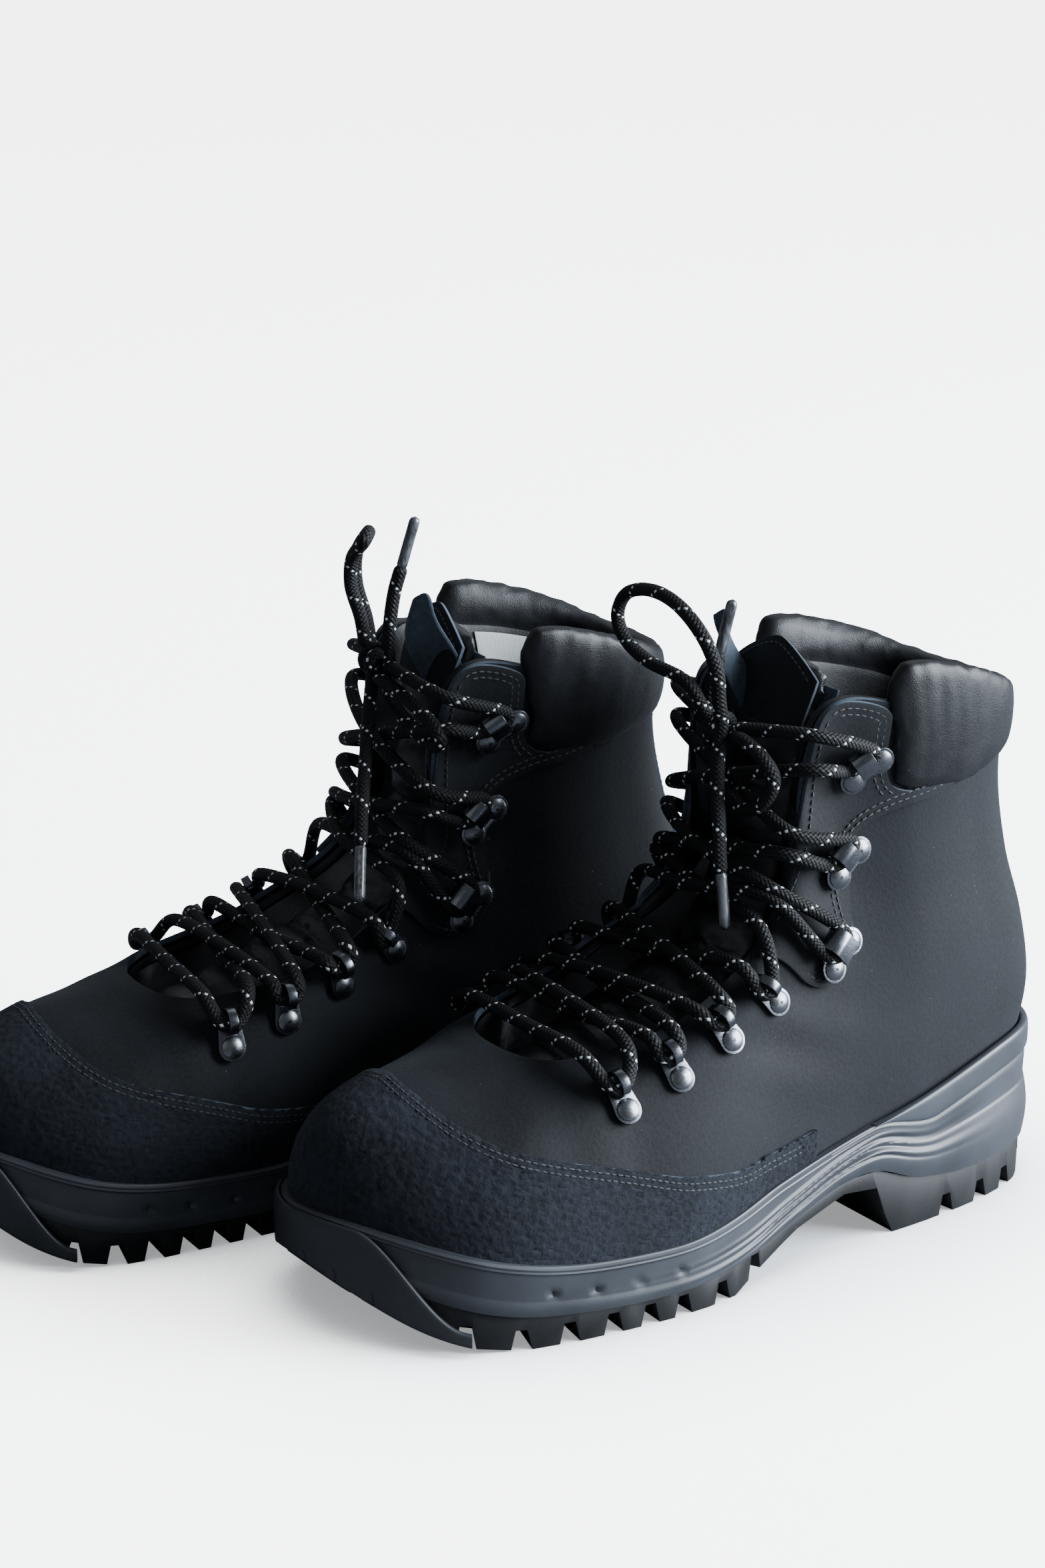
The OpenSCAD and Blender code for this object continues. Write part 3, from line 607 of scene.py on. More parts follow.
class Sheet:
    """Adds and links the nodes of one material or node group."""

    def __init__(self, tree: bpy.types.NodeTree) -> None:
        """Starts on an empty tree."""
        self.tree = tree

    def add(self, kind: str, inputs: dict | None = None, **settings: object) -> bpy.types.Node:
        """Adds a node.

        Args:
            kind: The shader node's type, without its prefix.
            inputs: Values or sockets for its inputs, by name or number.
            settings: The node's own settings.

        Returns:
            The node.
        """
        node = self.tree.nodes.new("ShaderNode" + kind)
        for key, value in settings.items():
            setattr(node, key, value)
        self.fill(node, inputs or {})
        return node

    def fill(self, node: bpy.types.Node, inputs: dict) -> None:
        """Links or sets a node's inputs, by name or number."""
        for key, value in inputs.items():
            self.put(node.inputs[key], value)

    def place(self) -> bpy.types.NodeSocket:
        """Gives the place on the object, in metres."""
        return self.add("TexCoord").outputs["Object"]

    def put(self, socket: bpy.types.NodeSocket, value: object) -> None:
        """Links a socket to an input, or sets the input's own value."""
        if isinstance(value, bpy.types.NodeSocket):
            self.tree.links.new(value, socket)
        else:
            socket.default_value = value

    def math(self, operation: str, *values: object, clamp: bool = False) -> bpy.types.NodeSocket:
        """Adds a sum of one or two values, and gives its result."""
        node = self.add("Math", dict(enumerate(values)), operation=operation, use_clamp=clamp)
        return node.outputs[0]

    def times(self, a: object, b: object, clamp: bool = False) -> bpy.types.NodeSocket:
        """Multiplies two values."""
        return self.math("MULTIPLY", a, b, clamp=clamp)

    def plus(self, a: object, b: object) -> bpy.types.NodeSocket:
        """Adds two values."""
        return self.math("ADD", a, b)

    def mix(self, share: object, a: object, b: object) -> bpy.types.NodeSocket:
        """Mixes two colours, and gives the result."""
        node = self.add("Mix", {0: share, 6: a, 7: b}, data_type="RGBA")
        return node.outputs[2]

    def noise(self, at: object, scale: object, detail: float = 3,
              roughness: float = 0.55) -> bpy.types.NodeSocket:
        """Adds a noise pattern, and gives its value from 0 to 1."""
        node = self.add("TexNoise", {"Vector": at, "Scale": scale, "Detail": detail, "Roughness": roughness})
        return node.outputs["Fac"]

    def span(self, value: object, low: float, high: float, a: float = 0,
             b: float = 1) -> bpy.types.NodeSocket:
        """Stretches a value from one range to another, held at its ends."""
        node = self.add("MapRange", {0: value, 1: low, 2: high, 3: a, 4: b})
        return node.outputs[0]


def new_material(name: str) -> tuple[bpy.types.Material, Sheet]:
    """Makes an empty material, and gives it with its sheet."""
    material = bpy.data.materials.new(name)
    material.use_nodes = True
    material.node_tree.nodes.clear()
    return material, Sheet(material.node_tree)


def new_group(name: str, inputs: dict[str, tuple[str, object]], outputs: dict[str, str]) -> tuple:
    """Makes an empty node group with named sockets.

    Args:
        name: The group's name.
        inputs: Each input's socket type and starting value.
        outputs: Each output's socket type.

    Returns:
        The group's sheet, its input node and its output node.
    """
    group = bpy.data.node_groups.new(name, "ShaderNodeTree")
    for key, (kind, value) in inputs.items():
        socket = group.interface.new_socket(key, in_out="INPUT", socket_type=kind)
        if value is not None:
            socket.default_value = value
    for key, kind in outputs.items():
        group.interface.new_socket(key, in_out="OUTPUT", socket_type=kind)
    return Sheet(group), group.nodes.new("NodeGroupInput"), group.nodes.new("NodeGroupOutput")


NUMBER = "NodeSocketFloat"
VECTOR = "NodeSocketVector"
LINT = (0.30, 0.31, 0.32, 1)
GRIT = (0.32, 0.32, 0.32, 1)


def make_grain_group() -> bpy.types.NodeTree:
    """Builds the grain of leather: pebbles, creases between them and slow waves."""
    sheet, source, result = new_group("Leather grain", {
        "Coordinates": (VECTOR, None), "Pebbles": (NUMBER, 900.0), "Waves": (NUMBER, 60.0)},
        {"Height": NUMBER, "Tone": NUMBER})
    at = source.outputs["Coordinates"]
    bent = sheet.add("TexNoise", {"Vector": at, "Scale": 220.0, "Detail": 2.0})
    moved = sheet.add("VectorMath", {0: bent.outputs["Color"], 1: (0.0012, 0.0012, 0.0012)},
                      operation="MULTIPLY")
    shifted = sheet.add("VectorMath", {0: at, 1: moved.outputs[0]}, operation="ADD")
    cells = sheet.add("TexVoronoi", {"Vector": shifted.outputs[0], "Scale": source.outputs["Pebbles"]},
                      feature="DISTANCE_TO_EDGE")
    pebble = sheet.span(cells.outputs["Distance"], 0.0, 0.25)
    fine = sheet.add("TexNoise", {"Vector": at, "Scale": 2600.0, "Detail": 3.0})
    wave = sheet.add("TexNoise", {"Vector": at, "Scale": source.outputs["Waves"], "Detail": 3.0})
    height = sheet.plus(sheet.times(pebble, 0.6), sheet.times(fine.outputs["Fac"], 0.4))
    sheet.fill(result, {"Height": height, "Tone": wave.outputs["Fac"]})
    return sheet.tree


def make_nap_group() -> bpy.types.NodeTree:
    """Builds the nap of brushed leather: short fibres, with patches brushed one way or the other."""
    sheet, source, result = new_group("Nap", {
        "Coordinates": (VECTOR, None), "Fibres": (NUMBER, 1500.0), "Patches": (NUMBER, 25.0)},
        {"Height": NUMBER, "Tone": NUMBER})
    at = source.outputs["Coordinates"]
    fibres = sheet.add("TexNoise", {"Vector": at, "Scale": source.outputs["Fibres"], "Detail": 5.0,
                                    "Roughness": 0.7})
    tufts = sheet.add("TexVoronoi", {"Vector": at, "Scale": sheet.times(source.outputs["Fibres"], 0.45)})
    patches = sheet.add("TexNoise", {"Vector": at, "Scale": source.outputs["Patches"], "Detail": 4.0,
                                     "Roughness": 0.6, "Distortion": 0.6})
    height = sheet.plus(fibres.outputs["Fac"], sheet.times(tufts.outputs["Distance"], 0.6))
    sheet.fill(result, {"Height": height, "Tone": patches.outputs["Fac"]})
    return sheet.tree


def make_dust_group() -> bpy.types.NodeTree:
    """Builds a mask of dust: a few pale specks and lint on a dark face."""
    sheet, source, result = new_group("Dust", {
        "Coordinates": (VECTOR, None), "Amount": (NUMBER, 0.5)}, {"Mask": NUMBER})
    at = source.outputs["Coordinates"]
    cells = sheet.add("TexVoronoi", {"Vector": at, "Scale": 260.0, "Randomness": 1.0})
    chance = sheet.add("SeparateColor", {0: cells.outputs["Color"]})
    speck = sheet.span(cells.outputs["Distance"], 0.035, 0.075, 1, 0)
    few = sheet.math("GREATER_THAN", chance.outputs[0], 0.86)
    patch = sheet.span(sheet.noise(at, 18.0), 0.45, 0.7)
    mask = sheet.times(sheet.times(speck, few), sheet.plus(patch, 0.3))
    sheet.put(result.inputs["Mask"], sheet.times(mask, source.outputs["Amount"], clamp=True))
    return sheet.tree


def make_wear_group() -> bpy.types.NodeTree:
    """Builds a mask of wear: rubbed corners, broken up by noise."""
    sheet, source, result = new_group("Edge wear", {
        "Coordinates": (VECTOR, None), "Amount": (NUMBER, 0.5)}, {"Mask": NUMBER})
    corner = sheet.add("NewGeometry")
    sharp = sheet.span(corner.outputs["Pointiness"], 0.52, 0.62)
    broken = sheet.span(sheet.noise(source.outputs["Coordinates"], 700.0), 0.35, 0.65)
    mask = sheet.times(sheet.times(sharp, broken), source.outputs["Amount"], clamp=True)
    sheet.put(result.inputs["Mask"], mask)
    return sheet.tree


def make_braid_group() -> bpy.types.NodeTree:
    """Builds a round braid: two families of strands that pass over and under, and one family's pale yarns."""
    sheet, source, result = new_group("Braid", {
        "Round": (NUMBER, 0.0), "Run": (NUMBER, 0.0), "Pitch": (NUMBER, 0.0018), "Strands": (NUMBER, 8.0)},
        {"Height": NUMBER, "Fleck": NUMBER})
    run = sheet.math("DIVIDE", source.outputs["Run"], source.outputs["Pitch"])
    turn = sheet.times(source.outputs["Round"], source.outputs["Strands"])
    a, b = sheet.plus(run, turn), sheet.math("SUBTRACT", run, turn)

    def across(value: bpy.types.NodeSocket) -> bpy.types.NodeSocket:
        """Gives the distance from a strand's middle, from 0 to 1."""
        doubled = sheet.times(sheet.math("FRACT", value), 2.0)
        return sheet.math("ABSOLUTE", sheet.math("SUBTRACT", doubled, 1.0))

    def hill(own: bpy.types.NodeSocket, other: bpy.types.NodeSocket) -> bpy.types.NodeSocket:
        """Gives a strand's height, from the distances to its middle and to the crossing strand's."""
        fall = sheet.plus(sheet.times(own, own), sheet.times(sheet.times(other, other), 0.35))
        return sheet.math("SUBTRACT", 1.0, fall)

    xa, xb = across(a), across(b)
    cell = sheet.plus(sheet.math("FLOOR", a), sheet.math("FLOOR", b))
    over = sheet.math("FLOORED_MODULO", cell, 2.0)
    height = sheet.add("Mix", {0: over, 2: hill(xa, xb), 3: hill(xb, xa)}, data_type="FLOAT").outputs[0]
    strand = sheet.math("FLOORED_MODULO", sheet.math("FLOOR", a), source.outputs["Strands"])
    marked = sheet.math("LESS_THAN", strand, 0.5)
    shape = sheet.times(sheet.math("LESS_THAN", xa, 0.72), sheet.math("LESS_THAN", xb, 0.8))
    fleck = sheet.times(sheet.times(marked, shape), sheet.math("LESS_THAN", over, 0.5))
    sheet.fill(result, {"Height": height, "Fleck": fleck})
    return sheet.tree


GROUPS = {"Leather grain": make_grain_group, "Nap": make_nap_group, "Dust": make_dust_group,
          "Edge wear": make_wear_group, "Braid": make_braid_group}


@dataclass(frozen=True)
class Finish:
    """A finish with a name, a base colour and a roughness.

    Attributes:
        name: The material's name.
        color: Base colour, linear.
        roughness: Roughness from 0 to 1.
    """

    name: str
    color: tuple[float, float, float]
    roughness: float = 0.6

    def material(self) -> bpy.types.Material:
        """Gives the material, building it the first time."""
        found = bpy.data.materials.get(self.name)
        if found:
            return found
        made, sheet = new_material(self.name)
        shader = sheet.add("BsdfPrincipled", {"Base Color": (*self.color, 1), "Roughness": self.roughness})
        sheet.add("OutputMaterial", {0: shader.outputs[0]})
        self.paint(sheet, shader)
        return made

    def paint(self, sheet: Sheet, shader: bpy.types.Node) -> None:
        """Adds the finish's own nodes."""

    def group(self, sheet: Sheet, name: str, **values: object) -> bpy.types.Node:
        """Adds a shared node group, built the first time it is used.

        Args:
            sheet: The material's sheet.
            name: The group's name.
            values: Values or sockets for its inputs.

        Returns:
            The group's node.
        """
        tree = bpy.data.node_groups.get(name) or GROUPS[name]()
        node = sheet.add("Group", node_tree=tree)
        sheet.fill(node, values)
        return node

    def bump(self, sheet: Sheet, shader: bpy.types.Node, height: object, depth: float) -> None:
        """Puts a height on the shader's normal, so many millimetres deep."""
        node = sheet.add("Bump", {"Height": height, "Distance": depth * MM, "Strength": 1})
        sheet.put(shader.inputs["Normal"], node.outputs[0])

    def shades(self, *shares: float) -> list[tuple]:
        """Gives darker and lighter versions of the base colour, as shares of it."""
        return [(*[min(1, c * share) for c in self.color], 1) for share in shares]


@dataclass(frozen=True)
class Nubuck(Finish):
    """Brushed leather: fine nap, slow patches, faint scuffs and dust.

    Attributes:
        fibres: Fineness of the nap, in fibres to the metre.
        depth: Depth of the nap in millimetres.
        contrast: How much lighter the pale patches, and the painted highlights on the highest fibres, are than the
            dark.
        dust: Amount of dust.
    """

    fibres: float = 1500
    depth: float = 0.05
    contrast: float = 2.2
    dust: float = 0.5

    def paint(self, sheet: Sheet, shader: bpy.types.Node) -> None:
        """Adds the nap, the patches, painted highlights on the highest fibres, the scuffs and the dust."""
        at = sheet.place()
        nap = self.group(sheet, "Nap", Coordinates=at, Fibres=self.fibres, Patches=22.0)
        dark, pale, rub = self.shades(0.7, self.contrast, 3.2)
        tone = sheet.mix(sheet.span(nap.outputs["Tone"], 0.35, 0.75), dark, pale)
        # Painted highlight: the highest fibres of the nap are coloured paler, following the same height as the
        # bump.
        fleck = sheet.mix(sheet.span(nap.outputs["Height"], 0.62, 1.0, 0, 0.55), tone, pale)
        stretched = sheet.add("Mapping", {"Vector": at, "Rotation": (0.4, 0.2, 0.5), "Scale": (1, 9, 1)})
        scuff = sheet.span(sheet.noise(stretched.outputs[0], 55.0, 6, 0.7), 0.68, 0.78, 0, 0.35)
        rubbed = sheet.mix(scuff, fleck, rub)
        dust = self.group(sheet, "Dust", Coordinates=at, Amount=self.dust)
        sheet.fill(shader, {
            "Base Color": sheet.mix(dust.outputs["Mask"], rubbed, LINT),
            "Roughness": sheet.span(nap.outputs["Tone"], 0.3, 0.8, self.roughness, self.roughness + 0.12),
            "Sheen Weight": 0.06, "Sheen Roughness": 0.45, "Sheen Tint": (0.55, 0.62, 0.7, 1),
            "Specular IOR Level": 0.24})
        self.bump(sheet, shader, nap.outputs["Height"], self.depth)


@dataclass(frozen=True)
class SmoothLeather(Finish):
    """Smooth leather with a soft gloss, fine grain and shallow creases.

    Attributes:
        coat: Weight of the clear finish over the leather.
        shine: How much light the leather itself throws back.
    """

    coat: float = 0.25
    shine: float = 0.3

    def paint(self, sheet: Sheet, shader: bpy.types.Node) -> None:
        """Adds the grain, creases and tone."""
        at = sheet.place()
        grain = self.group(sheet, "Leather grain", Coordinates=at, Pebbles=1300.0, Waves=35.0)
        dark, pale = self.shades(0.75, 1.7)
        tone = sheet.mix(sheet.span(grain.outputs["Tone"], 0.3, 0.75), dark, pale)
        dust = self.group(sheet, "Dust", Coordinates=at, Amount=0.25)
        low, high = self.roughness - 0.05, self.roughness + 0.1
        sheet.fill(shader, {
            "Base Color": sheet.mix(dust.outputs["Mask"], tone, LINT),
            "Roughness": sheet.span(grain.outputs["Tone"], 0.3, 0.8, low, high),
            "Coat Weight": self.coat, "Coat Roughness": 0.35, "Specular IOR Level": self.shine})
        creases = sheet.times(sheet.noise(at, 170.0, 4, 0.6), 1.2)
        self.bump(sheet, shader, sheet.plus(sheet.times(grain.outputs["Height"], 0.35), creases), 0.16)


@dataclass(frozen=True)
class Moulded(Finish):
    """Moulded rubber or plastic, with a fine texture, rubbed corners and dust.

    Attributes:
        texture: Depth of the mould's texture in millimetres.
        wear: How rubbed its corners are.
        dust: Amount of dust.
    """

    texture: float = 0.03
    wear: float = 0.5
    dust: float = 0.4

    def paint(self, sheet: Sheet, shader: bpy.types.Node) -> None:
        """Adds the mould's texture, the rubbed corners and the dust."""
        at = sheet.place()
        dark, pale, rub = self.shades(0.8, 1.35, 2.6)
        tone = sheet.mix(sheet.span(sheet.noise(at, 30.0, 4), 0.35, 0.7), dark, pale)
        worn = self.group(sheet, "Edge wear", Coordinates=at, Amount=self.wear)
        rubbed = sheet.mix(worn.outputs["Mask"], tone, rub)
        dust = self.group(sheet, "Dust", Coordinates=at, Amount=self.dust)
        smear = sheet.noise(at, 14.0, 5, 0.65)
        sheet.fill(shader, {
            "Base Color": sheet.mix(dust.outputs["Mask"], rubbed, GRIT),
            "Roughness": sheet.span(smear, 0.3, 0.75, self.roughness - 0.07, self.roughness + 0.09)})
        self.bump(sheet, shader, sheet.noise(at, 1800.0, 4, 0.6), self.texture)


@dataclass(frozen=True)
class CastMetal(Finish):
    """Dark polished metal, brighter where it is rubbed."""

    def paint(self, sheet: Sheet, shader: bpy.types.Node) -> None:
        """Adds the tone, the rubbed corners and the fine scratches."""
        at = sheet.place()
        worn = self.group(sheet, "Edge wear", Coordinates=at, Amount=0.8)
        dark, pale, bright = self.shades(0.75, 1.25, 2.1)
        tone = sheet.mix(sheet.noise(at, 260.0, 3), dark, pale)
        stretched = sheet.add("Mapping", {"Vector": at, "Scale": (1, 1, 14)})
        scratch = sheet.noise(stretched.outputs[0], 900.0, 3)
        sheet.fill(shader, {
            "Metallic": 1.0, "Base Color": sheet.mix(worn.outputs["Mask"], tone, bright),
            "Roughness": sheet.span(scratch, 0.35, 0.7, self.roughness - 0.06, self.roughness + 0.14)})
        self.bump(sheet, shader, sheet.noise(at, 1100.0, 2), 0.02)


@dataclass(frozen=True)
class Braid(Finish):
    """Braided cord with a few pale yarns.

    Attributes:
        fleck: Colour of the pale yarns.
        pitch: Length of one strand's step along the cord, in millimetres.
    """

    fleck: tuple[float, float, float] = (0.85, 0.90, 0.92)
    pitch: float = 1.75

    def paint(self, sheet: Sheet, shader: bpy.types.Node) -> None:
        """Adds the braid and its pale yarns, with painted shade where the strands sink and painted highlights on
        their crests.
        """
        at = sheet.add("SeparateXYZ", {0: sheet.add("UVMap").outputs[0]})
        braid = self.group(sheet, "Braid", Round=at.outputs[0], Run=at.outputs[1], Pitch=self.pitch * MM)
        dark, pale = self.shades(0.4, 1.9)
        # Painted shade and highlight: strands are coloured darker where they sink and paler on their crests,
        # following the braid's height.
        strands = sheet.mix(sheet.span(braid.outputs["Height"], 0.1, 1.0), dark, pale)
        sheet.fill(shader, {"Base Color": sheet.mix(braid.outputs["Fleck"], strands, (*self.fleck, 1)),
                            "Specular IOR Level": 0.3})
        yarn = sheet.times(sheet.noise(sheet.place(), 3200.0, 3), 0.25)
        self.bump(sheet, shader, sheet.plus(braid.outputs["Height"], yarn), 0.35)


@dataclass(frozen=True)
class Knit(Finish):
    """Knitted or woven cloth, read on the object's coordinates.

    Attributes:
        gauge: Distance between two ribs in millimetres.
    """

    gauge: float = 1.1

    def paint(self, sheet: Sheet, shader: bpy.types.Node) -> None:
        """Adds the ribs and rows of the cloth, with painted shade in their hollows and painted highlights on their
        crests.
        """
        at = sheet.place()
        step = 2 * math.pi / (self.gauge * MM)
        axes = sheet.add("SeparateXYZ", {0: at})
        ribs, rows = (sheet.math("SINE", sheet.times(sheet.plus(axes.outputs[i], axes.outputs[1]), step))
                      for i in (0, 2))
        cloth = sheet.times(sheet.plus(ribs, 1.2), sheet.plus(rows, 1.2))
        dark, pale = self.shades(0.6, 1.6)
        # Painted shade and highlight: the cloth is coloured darker in the hollows between ribs and rows and paler
        # on their crests, following the same pattern as the bump.
        sheet.fill(shader, {"Base Color": sheet.mix(sheet.times(cloth, 0.22), dark, pale),
                            "Sheen Weight": 0.2})
        self.bump(sheet, shader, sheet.plus(sheet.times(cloth, 0.3), sheet.noise(at, 1500.0, 4)), 0.12)


@dataclass(frozen=True)
class ClearTip(Finish):
    """Clear shrink tube over dark cord: dark inside, glossy outside, with paler streaks."""

    def paint(self, sheet: Sheet, shader: bpy.types.Node) -> None:
        """Adds the cord that shows through and the gloss."""
        at = sheet.place()
        streak = sheet.add("Mapping", {"Vector": at, "Scale": (1, 1, 0.15)})
        dark, pale = self.shades(0.35, 1.8)
        share = sheet.span(sheet.noise(streak.outputs[0], 800.0, 3), 0.4, 0.65)
        sheet.fill(shader, {"Base Color": sheet.mix(share, dark, pale), "Coat Weight": 0.8,
                            "Coat Roughness": 0.08})
        self.bump(sheet, shader, sheet.noise(at, 420.0, 2), 0.08)


NUBUCK = Nubuck("Nubuck", (0.0054, 0.0062, 0.0078), 0.72, depth=0.09)
FACING_NUBUCK = Nubuck("Facing nubuck", (0.0056, 0.0064, 0.0078), 0.68, depth=0.08, dust=0.6)
ROUGH_SUEDE = Nubuck("Rough suede", (0.0085, 0.0100, 0.0135), 0.9, fibres=900, depth=0.4, contrast=2.6,
                     dust=0.4)
FLAP_SUEDE = Nubuck("Flap suede", (0.045, 0.060, 0.078), 0.9, fibres=900, depth=0.2, contrast=1.8, dust=0.3)
CUT_EDGE = Nubuck("Cut edge", (0.050, 0.066, 0.086), 0.9, fibres=1400, depth=0.12, contrast=1.6, dust=0.2)
COLLAR_LEATHER = SmoothLeather("Collar leather", (0.0060, 0.0065, 0.0080), 0.46, coat=0.08)
TONGUE_LEATHER = SmoothLeather("Tongue leather", (0.0050, 0.0054, 0.0066), 0.36, coat=0.2, shine=0.5)
LINING_LEATHER = SmoothLeather("Lining leather", (0.0058, 0.0062, 0.0076), 0.5, coat=0.05)
THREAD = Knit("Thread", (0.0180, 0.0200, 0.0240), 0.42, gauge=0.5)
TREAD_RUBBER = Moulded("Tread rubber", (0.0060, 0.0064, 0.0074), 0.55, texture=0.05)
FOAM_RUBBER = Moulded("Midsole rubber", (0.0400, 0.0445, 0.0530), 0.42, texture=0.02, wear=0.25)
HEEL_PLASTIC = Moulded("Heel cup plastic", (0.0420, 0.0475, 0.0570), 0.38, texture=0.015, wear=0.25)
BUMPER_RUBBER = Moulded("Bumper rubber", (0.0240, 0.0265, 0.0320), 0.44, texture=0.02, wear=0.25)
BOARD = Moulded("Board", (0.16, 0.13, 0.09), 0.85, texture=0.1, wear=0.0, dust=0)
STIFFENER = Moulded("Stiffener", (0.10, 0.09, 0.08), 0.7, texture=0.05, wear=0.0, dust=0)
STEEL = CastMetal("Shank steel", (0.50, 0.51, 0.53), 0.38)
GUNMETAL = CastMetal("Gunmetal", (0.135, 0.142, 0.158), 0.25)
RIVET_METAL = CastMetal("Rivet metal", (0.165, 0.172, 0.186), 0.28)
LACE = Braid("Braided lace", (0.0022, 0.0023, 0.0028), 0.66)
TIP = ClearTip("Lace tip", (0.075, 0.080, 0.088), 0.28)
FOOTBED_KNIT = Knit("Footbed knit", (0.030, 0.033, 0.040), 0.85)
LABEL_TAPE = Knit("Label tape", (0.62, 0.64, 0.65), 0.8, gauge=0.4)


# ---- Pieces ----


@dataclass
class Stitcher:
    """Sews rows of thread on one boot.

    Attributes:
        side: The boot's side.
        pitch: Distance from one stitch to the next, in millimetres.
        length: Length of a stitch.
        width: Width of the thread.
    """

    side: Side
    pitch: float = 2.9
    length: float = 2.3
    width: float = 0.75

    def model(self) -> bpy.types.Object:
        """Makes one stitch, as a small rounded spindle."""
        bpy.ops.object.select_all(action="DESELECT")
        bpy.ops.mesh.primitive_uv_sphere_add(segments=8, ring_count=6, radius=0.5)
        stitch = bpy.context.object
        size = (self.length, self.width, self.width * 0.8)
        middle = (0, 0, 0)
        edit(stitch,
             lambda: bpy.ops.transform.rotate(value=math.pi / 2, orient_axis="Y", center_override=middle),
             lambda: bpy.ops.transform.resize(value=size, center_override=middle))
        return stitch

    def sew(self, name: str, rows: Sequence[np.ndarray], height: float) -> bpy.types.Object:
        """Sews rows on the upper.

        Args:
            name: The piece's name.
            rows: Lines on the upper, as place round the boot and height up it.
            height: How high over the upper's face the thread lies, in millimetres.

        Returns:
            The thread.
        """
        lines = []
        for row in rows:
            at = layer(row[:, 0], row[:, 1], height)
            even = stations(np.hstack([at, row]), self.pitch)
            lines.append((even[:, :3], skin_normal(even[:, 3], even[:, 4])))
        return self.lay(name, lines)

    def lay(self, name: str, lines: Sequence[tuple[np.ndarray, np.ndarray]]) -> bpy.types.Object:
        """Lays stitches along lines of points, with the outward direction at each.

        Args:
            name: The piece's name.
            lines: Evenly spaced points in the boot's frame, and the outward direction at each.

        Returns:
            The thread.
        """
        places = []
        for points, outs in lines:
            for a, b, out in zip(points[:-1], points[1:], outs[:-1]):
                x = unit(b - a)
                z = unit(out - x * (out @ x))
                place = np.eye(4)
                place[:3, :3] = np.stack([x, np.cross(z, x), z], 1)
                place[:3, 3] = (a + b) / 2
                places.append(self.in_row(place))
        stitch = self.model()
        thread = copies(name, stitch, places)
        remove(stitch)
        dress(thread, THREAD)
        shade(thread, 80)
        return thread

    def in_row(self, place: np.ndarray) -> np.ndarray:
        """Takes a place in the boot's frame in millimetres to the row frame in metres."""
        corners = np.vstack([place[:3, 3], place[:3, 3] + place[:3, :3].T])
        moved = to_row(corners, self.side)
        out = np.eye(4)
        out[:3, :3] = (moved[1:] - moved[0]).T
        out[:3, 3] = moved[0]
        return out


@dataclass
class Part:
    """A sub-assembly of one boot.

    Attributes:
        side: The boot's side.
    """

    side: Side

    @property
    def left(self) -> bool:
        """Whether this is the left boot."""
        return self.side is Side.LEFT

    def name(self, word: str) -> str:
        """Gives a piece's name on this boot."""
        return f"{self.side.name.title()}_{word}"

    def node(self, word: str) -> str:
        """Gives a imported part's name on this boot."""
        return f"{self.side.name.lower()}_{word}"

    def hold(self, piece: bpy.types.Object, slot: str, body: str = "boot",
             stands_for: Sequence[str] = ()) -> None:
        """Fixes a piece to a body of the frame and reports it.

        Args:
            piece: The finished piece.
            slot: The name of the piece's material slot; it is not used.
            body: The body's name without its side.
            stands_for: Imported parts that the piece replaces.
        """
        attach(piece, self.node(body))
        if stands_for:
            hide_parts(*[self.node(word) for word in stands_for])
        LOG.info("%s: %d faces", piece.name, len(piece.data.polygons))

    def panel(self, word: str, across: int, along: int, spot: Spot, size: tuple[float, float] = (1, 1),
              turned: bool = False) -> bpy.types.Object:
        """Lays a sheet on the boot.

        Args:
            word: The piece's word.
            across: Number of faces in its first direction.
            along: Number of faces in its second direction.
            spot: Gives its points in the boot's frame, from two arrays that run from 0 to 1.
            size: What the UV map counts up to in each direction, in metres.
            turned: Whether the faces are turned over.

        Returns:
            The sheet.
        """
        return add_sheet(self.name(word), across, along, lambda s, t: to_row(spot(s, t), self.side),
                         size, turned)

    def cut(self, piece: bpy.types.Object, word: str, finishes: Sequence[Finish], thickness: float,
            slot: str, body: str = "boot", edge: float = 0.35, angle: float = 45,
            outward: bool = True) -> None:
        """Finishes a sheet as cut leather or tape: dresses it, gives it a thickness and fixes it.

        Args:
            piece: The sheet.
            word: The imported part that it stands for, or nothing.
            finishes: The finish of its face, then that of its cut edge.
            thickness: Thickness in millimetres.
            slot: The record's material slot that it belongs to.
            body: The body's name without its side.
            edge: Width of the rounding of the cut edge, in millimetres.
            angle: Creases sharper than this, in degrees, are kept.
            outward: Whether the thickness goes out from the face, or in from it.
        """
        dress(piece, *finishes)
        thicken(piece, thickness, outward, len(finishes) - 1, edge)
        shade(piece, angle)
        self.hold(piece, slot, body, [word] if word else [])

    def pad(self, piece: bpy.types.Object, voxel: float, cap: float) -> None:
        """Closes a rolled-up sheet, fills it as a pad and smooths it.

        Args:
            piece: The rolled-up sheet.
            voxel: Size of the remesh, in millimetres.
            cap: The most that a point may move, in millimetres.
        """
        close_up(piece)
        inflate(piece, voxel, cap)
        more = piece.modifiers.new("Smooth", "SUBSURF")
        more.levels = more.render_levels = 1
        apply_all(piece)

    def mould(self, piece: bpy.types.Object, finish: Finish, angle: float, slot: str, word: str) -> None:
        """Finishes a moulded piece.

        Args:
            piece: The piece.
            finish: Its finish.
            angle: Creases sharper than this, in degrees, are kept.
            slot: The record's material slot that it belongs to.
            word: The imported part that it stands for.
        """
        dress(piece, finish)
        shade(piece, angle)
        self.hold(piece, slot, stands_for=[word])


